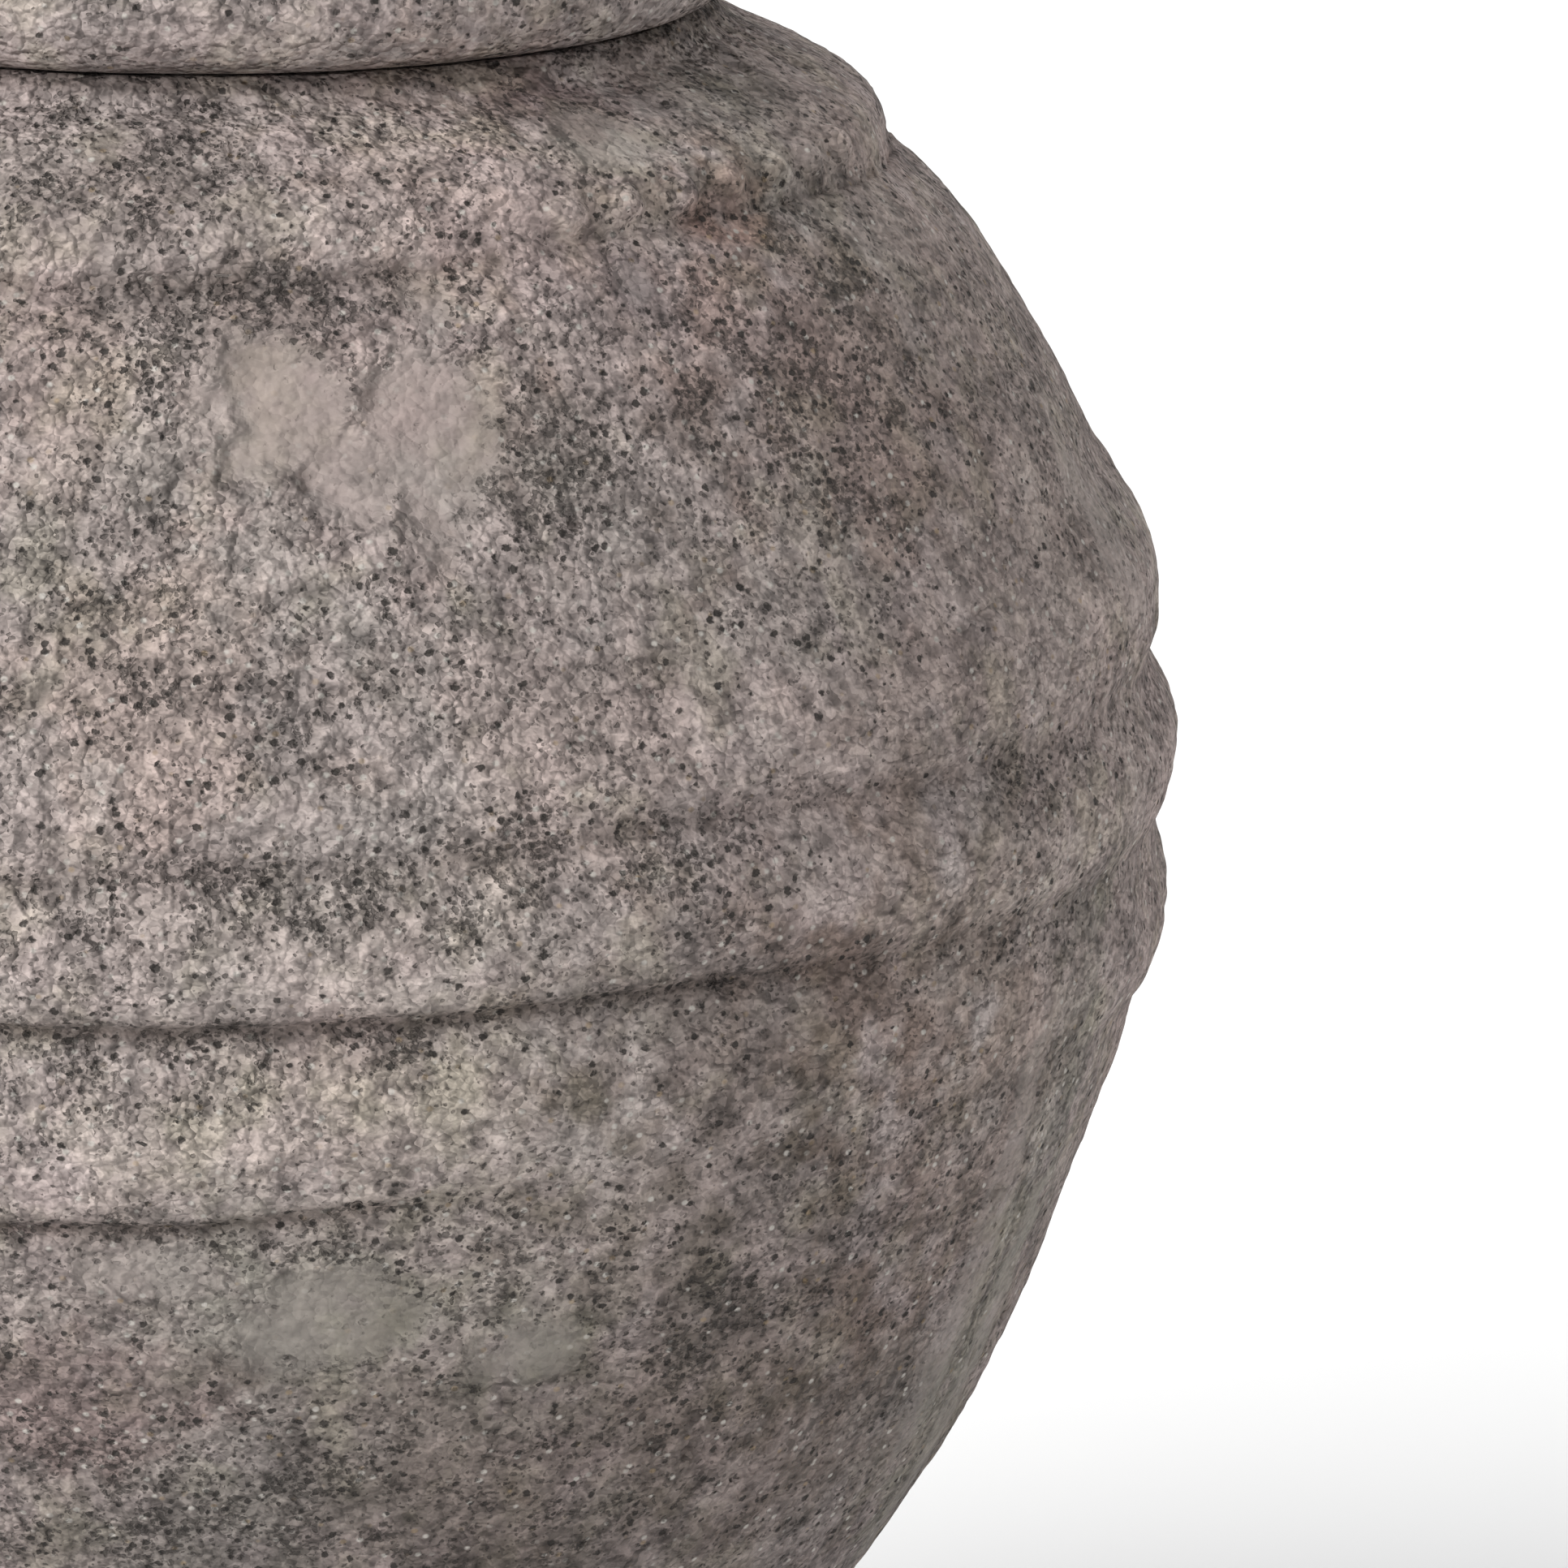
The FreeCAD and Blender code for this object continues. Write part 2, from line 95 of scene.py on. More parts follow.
def noise(points, cell, seed):
    """Value noise from -1 to 1 at points in mm, with cells of the given size."""
    if seed not in noise_tables:
        values = np.random.default_rng(seed).uniform(-1, 1, (NOISE_SIDE,) * 3)
        noise_tables[seed] = values.astype(np.float32)
    table = noise_tables[seed]
    place = points / cell + 0.37 * seed
    corner = np.floor(place).astype(np.int64)
    part = (place - corner).astype(np.float32)
    part = part * part * (3 - 2 * part)
    low = corner % NOISE_SIDE
    high = (corner + 1) % NOISE_SIDE
    total = np.zeros(len(points), np.float32)
    for bits in range(8):
        index, weight = [], np.ones(len(points), np.float32)
        for axis in range(3):
            if bits >> axis & 1:
                index.append(high[:, axis])
                weight *= part[:, axis]
            else:
                index.append(low[:, axis])
                weight *= 1 - part[:, axis]
        total += weight * table[index[0], index[1], index[2]]
    return total


def rough(points, cell, seed, octaves=3, fall=0.5):
    """Several octaves of noise, each half the size of the one before."""
    total, share = np.zeros(len(points), np.float32), 1.0
    for number in range(octaves):
        total += share * noise(points, cell / 2 ** number, seed + number)
        share *= fall
    return total


def resample(corners, step):
    """Points along a polyline, at most step apart, keeping its corners."""
    found = [corners[0]]
    for start, end in zip(corners[:-1], corners[1:]):
        length = math.dist(start, end)
        count = max(1, math.ceil(length / step))
        for number in range(1, count + 1):
            share = number / count
            found.append((start[0] + (end[0] - start[0]) * share, start[1] + (end[1] - start[1]) * share))
    return found


def arc(centre, radius, start, end, count):
    """Points on an arc, with angles in degrees from +r towards +z."""
    angles = np.radians(np.linspace(start, end, count))
    return [(centre[0] + radius * math.cos(a), centre[1] + radius * math.sin(a)) for a in angles]


def bend(start, end, radius, side, count=16):
    """Points on an arc between two ends. Side 1 bulges to the right of the way there, -1 to the left."""
    sx, sz = start
    ex, ez = end
    half = math.dist(start, end) / 2
    nx, nz = (ez - sz) / (2 * half), -(ex - sx) / (2 * half)
    reach = math.sqrt(radius ** 2 - half ** 2)
    cx, cz = (sx + ex) / 2 - side * nx * reach, (sz + ez) / 2 - side * nz * reach
    a0, a1 = math.atan2(sz - cz, sx - cx), math.atan2(ez - cz, ex - cx)
    turn = (a1 - a0 + math.pi) % (2 * math.pi) - math.pi
    return [(cx + radius * math.cos(a0 + turn * t), cz + radius * math.sin(a0 + turn * t))
            for t in np.linspace(0, 1, count)]


def mesh_object(name, vertices, faces):
    mesh = bpy.data.meshes.new(name)
    mesh.from_pydata([], [], [])
    mesh.vertices.add(len(vertices))
    mesh.vertices.foreach_set("co", np.asarray(vertices, np.float32).ravel())
    faces = np.asarray(faces, np.int32)
    size = faces.shape[1]
    mesh.loops.add(faces.size)
    mesh.loops.foreach_set("vertex_index", faces.ravel())
    mesh.polygons.add(len(faces))
    mesh.polygons.foreach_set("loop_start", np.arange(0, faces.size, size, dtype=np.int32))
    mesh.update(calc_edges=True)
    mesh.validate()
    thing = bpy.data.objects.new(name, mesh)
    bpy.context.scene.collection.objects.link(thing)
    return thing


def shade_smooth(thing):
    flags = np.ones(len(thing.data.polygons), bool)
    thing.data.polygons.foreach_set("use_smooth", flags)


def get_points(thing):
    """The vertices of a mesh in mm."""
    points = np.empty(len(thing.data.vertices) * 3, np.float32)
    thing.data.vertices.foreach_get("co", points)
    return points.reshape(-1, 3).astype(np.float64) / MM


def set_points(thing, points):
    thing.data.vertices.foreach_set("co", (points * MM).astype(np.float32).ravel())
    thing.data.update()


def get_normals(thing):
    normals = np.empty(len(thing.data.vertices) * 3, np.float32)
    thing.data.vertex_normals.foreach_get("vector", normals)
    return normals.reshape(-1, 3).astype(np.float64)


def radius_of(points):
    return np.hypot(points[:, 0], points[:, 1])


def angle_of(points):
    """Degrees round the axis from the front, which is the middle of the side that is worn in most detail."""
    return np.degrees(np.arctan2(points[:, 1], points[:, 0])) - FRONT


def arc_length(angle, spot_angle, radius):
    """How far round the stone each point is from an angle, in mm."""
    return np.radians((angle - spot_angle + 180) % 360 - 180) * radius


def hump(value, middle, width):
    """1 where value is at the middle, falling off on both sides like a bell."""
    return np.exp(-0.5 * ((value - middle) / width) ** 2)


def set_value(thing, name, values):
    attribute = thing.data.attributes.new(name, "FLOAT", "POINT")
    attribute.data.foreach_set("value", np.asarray(values, np.float32))


def set_tone(thing, colours):
    attribute = thing.data.attributes.new("tone", "FLOAT_COLOR", "POINT")
    full = np.ones((len(colours), 4), np.float32)
    full[:, :3] = colours
    attribute.data.foreach_set("color", full.ravel())


def grid_faces(strips, rows, columns):
    """Strips of quads between rows of points. With as many strips as rows, the last joins the first."""
    row = np.arange(strips)[:, None]
    column = np.arange(columns)[None, :]
    up, across = (row + 1) % rows, (column + 1) % columns
    corners = [row * columns + column, row * columns + across, up * columns + across, up * columns + column]
    return np.stack(corners, -1).reshape(-1, 4)


def lathe(name, outline, columns, closed=False):
    """A surface of revolution in quads, of (radius, height) in mm. A closed outline makes a ring."""
    rows = len(outline)
    angles = np.linspace(0, 2 * math.pi, columns, endpoint=False)
    line = np.array(outline)
    points = np.empty((rows, columns, 3))
    points[:, :, 0] = line[:, :1] * np.cos(angles)
    points[:, :, 1] = line[:, :1] * np.sin(angles)
    points[:, :, 2] = line[:, 1:]
    faces = grid_faces(rows if closed else rows - 1, rows, columns)
    return mesh_object(name, points.reshape(-1, 3) * MM, faces)


# ---------------------------------------------------------------- the jar's shape

FRONT = -45.0  # the direction that the tables below count their angles from, in degrees from +X
BASE_RADIUS = 84  # of the jar's foot, which stands in the socket

# Height above the ground and radius of the jar's outside without its bands
JAR = np.array([
    (BELLY_LOW, BASE_RADIUS), (FOOT_TOP, BASE_RADIUS), (66, 96), (76, 110.5), (92.7, 129), (113.4, 143.4),
    (134.2, 156.4), (155, 166.5), (175.7, 174.8), (196.5, 182.7), (217.3, 189.8), (228, 192.3), (243, 194.6),
    (258, 195.9), (272, 196.2), (285, 195.8), (298, 194.6), (312, 191.4), (321, 188.6), (336.7, 184.2),
    (348.1, 180), (360.6, 173.4), (372, 166.4), (384.5, 159.2), (395.9, 149.8), (BELLY_TOP, 141.5)])
JAR_STEP = 0.5
JAR_HEIGHTS = np.arange(BELLY_LOW, BELLY_TOP + 0.01, JAR_STEP)


def smooth_jar(width=9.0, reach=24):
    """The jar's radius at each of its heights, with its corners smoothed over a width counted in steps."""
    raw = np.interp(JAR_HEIGHTS, JAR[:, 0], JAR[:, 1])
    weights = hump(np.arange(-reach, reach + 1), 0, width)
    padded = np.concatenate([2 * raw[0] - raw[reach:0:-1], raw, 2 * raw[-1] - raw[-2:-2 - reach:-1]])
    radii = np.convolve(padded, weights / weights.sum(), "valid")
    radii[JAR_HEIGHTS <= FOOT_TOP] = BASE_RADIUS
    return radii


JAR_RADII = smooth_jar()


def jar_radius(height):
    return np.interp(height, JAR_HEIGHTS, JAR_RADII)


def jar_normals(direction, height):
    """Which way the jar's outside faces, from the direction away from the axis and the height."""
    lean = (jar_radius(height + 1.0) - jar_radius(height - 1.0)) / 2.0
    across = 1 / np.sqrt(1 + lean ** 2)
    return np.stack([direction[:, 0] * across, direction[:, 1] * across, -lean * across], -1)


def by_angle(angle, table):
    """A value that changes round the jar, from (angle, value) pairs, closing on itself."""
    table = np.array(sorted(table))
    angles = np.concatenate([table[-1:, 0] - 360, table[:, 0], table[:1, 0] + 360])
    values = np.concatenate([table[-1:, 1], table[:, 1], table[:1, 1]])
    return np.interp(angle, angles, values)


# Each band is a lap with an undercut lower lip. By angle round the jar: the height of the undercut, and in mm
# how far above it the crest stands, how proud the band is, how soft its lip is and how far up it reaches.
BANDS = [
    {"undercut": [(-90, 224.5), (-30, 224.5), (-14, 225.2), (-3, 224.2), (3, 226.6), (11, 229.2), (15, 229.2),
                  (30, 230), (60, 230), (78, 231), (92, 232), (150, 229), (200, 226)],
     "crest": [(-90, 16), (-14, 18), (15, 18), (40, 16), (75, 12), (90, 12), (180, 15)],
     "proud": [(-90, 3.4), (-14, 3.6), (10, 3.3), (22, 2.4), (40, 1.3), (60, 1.6), (76, 3.4), (90, 4.0),
               (180, 3.2)],
     "soft": [(-90, 8), (-20, 5), (-14, 3.2), (-3, 2.8), (6, 4), (15, 7), (25, 13), (60, 16), (76, 9),
              (90, 8), (180, 10)],
     "reach": [(-90, 34), (50, 36), (76, 29), (90, 29), (150, 34)]},
    {"undercut": [(-90, 266), (-30, 265.9), (-13, 266.2), (4, 266.2), (11, 266.6), (15, 267.6), (26, 268.5),
                  (40, 267.5), (60, 266), (78, 267.3), (92, 267.3), (150, 264), (220, 266)],
     "crest": [(-90, 12), (-13, 11), (22, 12.5), (50, 13.5), (76, 13.5), (90, 14), (180, 14)],
     "proud": [(-90, 4.0), (-14, 4.9), (15, 4.6), (35, 4.0), (60, 3.6), (76, 4.4), (90, 4.6), (180, 4)],
     "soft": [(-90, 6), (-14, 2.6), (0, 2.4), (20, 2.8), (30, 3.8), (40, 5), (56, 7), (76, 9), (90, 9),
              (180, 8)],
     "reach": [(-90, 38), (60, 36), (76, 31), (90, 30), (150, 38)]},
    {"undercut": [(-90, 298), (-30, 296.5), (-13, 296.2), (2, 297.8), (15, 298.8), (22, 301.4), (33, 302.4),
                  (46, 300.8), (65, 300), (76, 301.2), (90, 301.2), (150, 300), (220, 299)],
     "crest": [(-90, 15), (-13, 13), (22, 13), (50, 15), (76, 16.5), (90, 16.5), (180, 14)],
     "proud": [(-90, 2.6), (-14, 2.3), (15, 2.2), (30, 2.7), (45, 3.1), (60, 3.2), (76, 5.8), (90, 6.2),
               (180, 3.2)],
     "soft": [(-90, 10), (-14, 7), (15, 7), (33, 5.5), (50, 6), (60, 9), (76, 11), (90, 11), (180, 10)],
     "reach": [(-90, 44), (50, 42), (76, 44), (90, 44), (150, 44)]},
]


def bands(angle, height, wobble):
    """How far the bands stand out in mm, and how deep in an undercut and how near a crest each point is."""
    raised = np.zeros(len(angle))
    groove = np.zeros(len(angle))
    crest_share = np.zeros(len(angle))
    for band in BANDS:
        above = height - by_angle(angle, band["undercut"]) - wobble
        crest = by_angle(angle, band["crest"])
        proud = by_angle(angle, band["proud"])
        soft = by_angle(angle, band["soft"])
        lip = smooth(-0.5 * soft, 0.5 * soft, above)
        swell = smooth(-0.2 * crest, crest, above)
        fade = 1 - smooth(0.0, by_angle(angle, band["reach"]) - crest, above - crest)
        rise = (0.45 * lip + 0.55 * swell) * fade
        raised += proud * rise
        sharpness = np.clip(3.0 / soft, 0, 1)
        raised -= 0.9 * sharpness * hump(above, -2.0, 3.0)
        groove = np.maximum(groove, hump(above, -1.4, 1.9) * np.clip(1.25 * sharpness - 0.15, 0.08, 1))
        crest_share = np.maximum(crest_share, hump(above, 0.8 * crest, 0.45 * crest))
    return raised, groove, crest_share


# ---------------------------------------------------------------- weathering of the carved stone

# Slurry patches: angle, height above the ground, half width and half height in mm, strength
PATCHES = [
    (2.8, 382, 14, 14, 0.82), (13.8, 376, 12, 19, 0.78), (8, 369, 12, 9, 0.75), (15.5, 398, 5, 10, 0.5),
    (5.0, 202, 19, 11, 0.75), (18.2, 191, 12, 8, 0.8), (10.5, 199, 9, 7, 0.4), (38, 423, 10, 5, 0.6),
    (33.2, 396.3, 4.2, 4.2, 0.5), (58, 188, 8, 46, 0.5), (66, 150, 8, 50, 0.55), (-6, 214, 16, 7, 0.45),
    (74, 330, 10, 26, 0.4), (120, 300, 18, 12, 0.8), (160, 240, 20, 14, 0.8), (205, 330, 16, 20, 0.8),
    (232, 200, 24, 12, 0.7), (-70, 185, 18, 12, 0.8), (285, 300, 14, 16, 0.7), (182, 150, 20, 14, 0.7)]

# Holes and chips: angle, height, radius, depth
HOLES = [
    (22.9, 358.1, 1.7, 1.5), (-2, 234.4, 1.3, 1.4), (-6.5, 286.1, 1.5, 1.2), (-5.4, 282.3, 1.3, 1.1),
    (5.3, 369.1, 2.4, 1.3), (10.3, 382.9, 2.6, 1.2), (7, 228, 1.4, 1), (29, 268, 1.6, 1.1),
    (30, 279, 1.3, 0.9), (11.4, 289, 1.5, 0.9), (35, 246, 1.6, 1), (-9, 262, 1.6, 0.9), (24.2, 215, 1.4, 0.9)]

# Colour stains, and broad lighter and darker areas that are partly painted light and shade: angle, height,
# half width, half height, colour it tends to, strength
PURPLE, GREEN, DARK, RED = (0.86, 0.79, 0.80), (0.93, 0.985, 0.94), (0.70, 0.71, 0.69), (0.92, 0.81, 0.77)
STAINS = [
    (-10, 184, 26, 14, PURPLE, 0.9), (39.6, 428, 14, 4.5, (0.74, 0.68, 0.70), 0.9),
    (62, 425.5, 8, 3, DARK, 0.7),
    (38, 423, 12, 6, GREEN, 0.9), (48, 411, 14, 8, RED, 0.85), (33.2, 396.3, 5, 5, (0.74, 0.75, 0.78), 0.9),
    (5, 201, 22, 12, (0.85, 0.89, 0.85), 0.9), (18, 190.5, 13, 9, (0.83, 0.86, 0.82), 0.9),
    (62.7, 193, 12, 60, GREEN, 0.8), (66, 140, 14, 50, (0.92, 0.97, 0.93), 0.8), (32, 194, 14, 12, DARK, 0.6),
    (-7.5, 422, 22, 7, DARK, 0.55), (3, 398, 26, 6, DARK, 0.55), (22, 368, 16, 10, DARK, 0.55),
    (48, 371, 26, 26, (0.86, 0.81, 0.79), 0.7),
    # from here on mostly broad areas: lighter high up and on the left, darker on the right and low down,
    # painted light and shade over the stone's own tone
    (10, 158, 60, 26, (0.84, 0.84, 0.83), 0.8), (-12, 384, 14, 16, (1.04, 1.0, 0.98), 0.8),
    (45, 262, 26, 26, (0.88, 0.85, 0.82), 0.7), (52, 215, 30, 30, (0.88, 0.84, 0.81), 0.7),
    (-5, 330, 22, 20, (1.07, 1.02, 0.99), 0.8), (20, 318, 26, 26, (1.05, 1.02, 1.0), 0.7),
    (2, 246, 40, 12, (1.06, 1.05, 1.03), 0.8), (8, 287, 30, 8, (0.93, 0.95, 0.93), 0.7),
    (74, 300, 90, 170, (0.87, 0.852, 0.832), 1.0), (30, 262, 30, 24, (0.73, 0.715, 0.70), 0.9),
    (34, 215, 36, 44, (0.80, 0.785, 0.77), 0.9), (30, 170, 60, 42, (0.84, 0.835, 0.82), 0.9),
    (24, 345, 56, 60, (1.09, 1.085, 1.08), 1.0), (8, 380, 24, 20, (1.02, 0.985, 0.985), 1.0),
    (28, 418, 40, 20, (1.12, 1.11, 1.10), 1.0), (2, 190, 70, 44, (0.975, 0.995, 0.97), 1.0)]

# Where the surface is more pitted: angle, height, half width, half height, strength
PITTED = [
    (-7.5, 422, 24, 7, 0.8), (1, 400, 28, 7, 0.9), (22, 366, 18, 10, 0.8), (48, 371, 28, 30, 0.45),
    (32, 194, 16, 12, 0.7), (-6, 388, 10, 16, 0.4), (2, 222, 50, 5, 0.6), (8, 290, 40, 8, 0.5),
    (0, 262, 40, 4, 0.5), (10, 160, 60, 16, 0.35), (24, 296, 30, 18, 0.35), (-8, 345, 16, 20, 0.35)]


def spot(where, place, wander, grow=1.0):
    """1 in the middle of an oval spot on the outside, falling to 0 at its wandering rim.

    Where: the points' angle, height and radius. Place: the spot's angle, height, half width and half height.
    """
    angle, height, radius = where
    spot_angle, spot_height, half_width, half_height = place
    across = arc_length(angle, spot_angle, radius) / (grow * half_width)
    up = (height - spot_height) / (grow * half_height)
    return 1 - smooth(0.62, 1.25, np.hypot(across, up) + wander)


def weather(points):
    """The masks that the stone's finish reads, for points in mm on a stone's outside."""
    height = points[:, 2]
    where = angle_of(points), height, np.maximum(radius_of(points), 40)
    wander = 0.34 * noise(points, 11, 31) + 0.26 * noise(points, 4.2, 32)
    patch = np.zeros(len(points))
    for *place, strength in PATCHES:
        patch = np.maximum(patch, strength * spot(where, place, wander))
    pits = 0.42 + 0.30 * rough(points, 42, 41, 3) + 0.12 * noise(points, 130, 45)
    for *place, strength in PITTED:
        pits = pits + strength * spot(where, place, 1.4 * wander, 1.15)
    pits = np.clip(pits, 0, 1) * (1 - 0.93 * patch)
    shade = 1 + 0.07 * rough(points, 55, 51, 3) + 0.05 * noise(points, 12, 55)
    warm = 0.55 * rough(points, 48, 61, 3)
    mossy = 0.5 * rough(points, 60, 71, 3)
    tone = np.stack([shade * (1 + 0.035 * warm - 0.022 * mossy), shade * (1 - 0.022 * warm + 0.012 * mossy),
                     shade * (1 - 0.028 * warm - 0.012 * mossy)], -1)
    # painted shade and light: every stone is darkened towards the bottom below 238 mm, and lightened from 396
    # mm up
    painted_low_shade = smooth(238, 120, height) * (height > FOOT_TOP)
    tone *= (1.07 - 0.33 * painted_low_shade + 0.08 * smooth(396, 412, height))[:, None]
    for *place, colour, strength in STAINS:
        amount = strength * spot(where, place, 1.6 * wander, 1.25)[:, None]
        tone *= 1 + amount * (np.array(colour) - 1)
    return {"patch": patch, "pits": pits, "tone": tone}


def unevenness(points, masks, swell_size, swell, lumps, knobs, grain, pitted_grain, patch):
    """How far a worn stone's skin stands out, in mm: swells of a size, lumps, knobs, grain and slurry."""
    lift = swell * rough(points, swell_size, 93, 2)
    lift = lift + lumps * noise(points, 17, 95) + knobs * noise(points, 7, 96)
    lift += (grain + pitted_grain * masks["pits"]) * noise(points, 3.1, 97)
    return lift + patch * masks["patch"]


def dents(points, seed, count, low, high, sizes):
    """Depths of scattered round pits between two heights, in mm."""
    rng = np.random.default_rng(seed)
    depth = np.zeros(len(points))
    radius = radius_of(points)
    turn = np.arctan2(points[:, 1], points[:, 0])
    for _ in range(count):
        spot_turn = rng.uniform(-math.pi, math.pi)
        spot_height = rng.uniform(low, high)
        size = sizes[0] + (sizes[1] - sizes[0]) * rng.random() ** 2.5
        stretch = rng.uniform(0.7, 1.5)
        across = ((turn - spot_turn + math.pi) % (2 * math.pi) - math.pi) * radius
        up = points[:, 2] - spot_height
        near = np.flatnonzero((np.abs(up) < 2.5 * size) & (np.abs(across) < 2.5 * size))
        away = np.hypot(across[near] / stretch, up[near]) / size
        depth[near] = np.maximum(depth[near], 0.55 * size * (1 - smooth(0.35, 1.15, away)))
    return depth


def hand_over(thing, body, node, slot):
    """Give a finished piece its body and its material, and hide the CAD node that it stands for."""
    shade_smooth(thing)
    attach(thing, body)
    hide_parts(node)
    thing.data.materials.append(MATERIALS[slot])


def finish_stone(thing, masks, soiling_and_shade, body, node, slot="carved_stone"):
    set_value(thing, "patch", masks["patch"])
    set_value(thing, "pits", masks["pits"])
    set_value(thing, "soiling_and_shade", np.clip(soiling_and_shade, 0, 1))
    set_tone(thing, masks["tone"])
    hand_over(thing, body, node, slot)


def soften(points, edges, weight, rounds):
    """Pull points towards the middle of their neighbours, each by its weight."""
    a, b = edges[:, 0], edges[:, 1]
    count = np.bincount(a, minlength=len(points)) + np.bincount(b, minlength=len(points))
    for _ in range(rounds):
        middle = np.empty_like(points)
        for axis in range(3):
            middle[:, axis] = np.bincount(a, points[b, axis], len(points))
            middle[:, axis] += np.bincount(b, points[a, axis], len(points))
        middle /= np.maximum(count, 1)[:, None]
        points = points + weight[:, None] * (middle - points)
    return points


WORN_SIDE = (-22, 98)  # angles of the side that is worn in most detail
WORN_LOW, WORN_RADIUS = 120, 130  # and its lowest height and least radius

CHAMBER_RADIUS = 120.0
WINDOW_HALF, WINDOW_SILL = 52.0, CHAMBER_FLOOR
WINDOW_SPRING = WINDOW_SILL + WINDOW_HALF
SOCKET_FLOOR = level("foot_bed", 0)
DOWEL_HOLE_RADIUS, DOWEL_HOLE_TOP, DOWEL_HOLE_LOW = 10.3, 81, 11
TENON_HOLE_RADIUS = 9.3


def window_distance(points):
    """How far each point is outside the windows' outline, looking along Y, in mm; negative inside."""
    x, z = np.abs(points[:, 0]), points[:, 2]
    arch = np.hypot(x, z - WINDOW_SPRING) - WINDOW_HALF
    jamb = np.maximum(x - WINDOW_HALF, WINDOW_SILL - z)
    return np.where(z > WINDOW_SPRING, arch, jamb)


def make_window_cutter(reach=300):
    """A bar with the windows' outline, which passes through the whole jar along Y."""
    outline = [(-WINDOW_HALF, WINDOW_SILL), (WINDOW_HALF, WINDOW_SILL)]
    outline += arc((0, WINDOW_SPRING), WINDOW_HALF, 0, 180, 49)
    shape = bmesh.new()
    face = shape.faces.new([shape.verts.new((x * MM, -reach * MM, z * MM)) for x, z in outline])
    moved = bmesh.ops.extrude_face_region(shape, geom=[face])
    far_end = [part for part in moved["geom"] if isinstance(part, bmesh.types.BMVert)]
    bmesh.ops.translate(shape, verts=far_end, vec=(0, 2 * reach * MM, 0))
    bmesh.ops.recalc_face_normals(shape, faces=shape.faces)
    mesh = bpy.data.meshes.new("window_cutter")
    shape.to_mesh(mesh)
    shape.free()
    cutter = bpy.data.objects.new("window_cutter", mesh)
    bpy.context.scene.collection.objects.link(cutter)
    return cutter


def make_jar_blank():
    """The jar without its bands, with its chamber, windows and dowel hole, in even cells."""
    rows = np.arange(FOOT_TOP + 3, BELLY_TOP, 3.0)
    heights = np.concatenate([[BELLY_LOW, 53, FOOT_TOP], rows, [BELLY_TOP]])
    outline = [(0, DOWEL_HOLE_TOP), (DOWEL_HOLE_RADIUS, DOWEL_HOLE_TOP), (DOWEL_HOLE_RADIUS, BELLY_LOW)]
    outline += [(float(jar_radius(height)), float(height)) for height in heights]
    outline += [(CHAMBER_RADIUS, BELLY_TOP), (CHAMBER_RADIUS, CHAMBER_FLOOR), (0, CHAMBER_FLOOR)]
    jar = lathe("jar_blank", outline, 256)
    turn_outward(jar)
    weld(jar)
    cutter = make_window_cutter()
    cut = jar.modifiers.new("windows", "BOOLEAN")
    cut.operation, cut.solver, cut.object = "DIFFERENCE", "EXACT", cutter
    remesh = jar.modifiers.new("even", "REMESH")
    remesh.mode, remesh.voxel_size = "VOXEL", detail(1.5, 3.0) * MM
    mesh = bpy.data.meshes.new_from_object(jar.evaluated_get(bpy.context.evaluated_depsgraph_get()))
    bpy.data.objects.remove(jar)
    bpy.data.objects.remove(cutter)
    return mesh


def refine_worn_side(mesh):
    """Finer cells on the side that is worn in most detail, and no faces of more than four corners."""
    shape = bmesh.new()
    shape.from_mesh(mesh)
    picked = []
    for face in shape.faces:
        centre = face.calc_center_median()
        angle = math.degrees(math.atan2(centre.y, centre.x)) - FRONT
        outside = math.hypot(centre.x, centre.y) > WORN_RADIUS * MM
        if WORN_SIDE[0] < angle < WORN_SIDE[1] and centre.z > WORN_LOW * MM and outside:
            picked.append(face)
    edges = list({edge for face in picked for edge in face.edges})
    bmesh.ops.subdivide_edges(shape, edges=edges, cuts=1, use_grid_fill=True)
    bmesh.ops.triangulate(shape, faces=[face for face in shape.faces if len(face.verts) > 4])
    shape.to_mesh(mesh)
    shape.free()


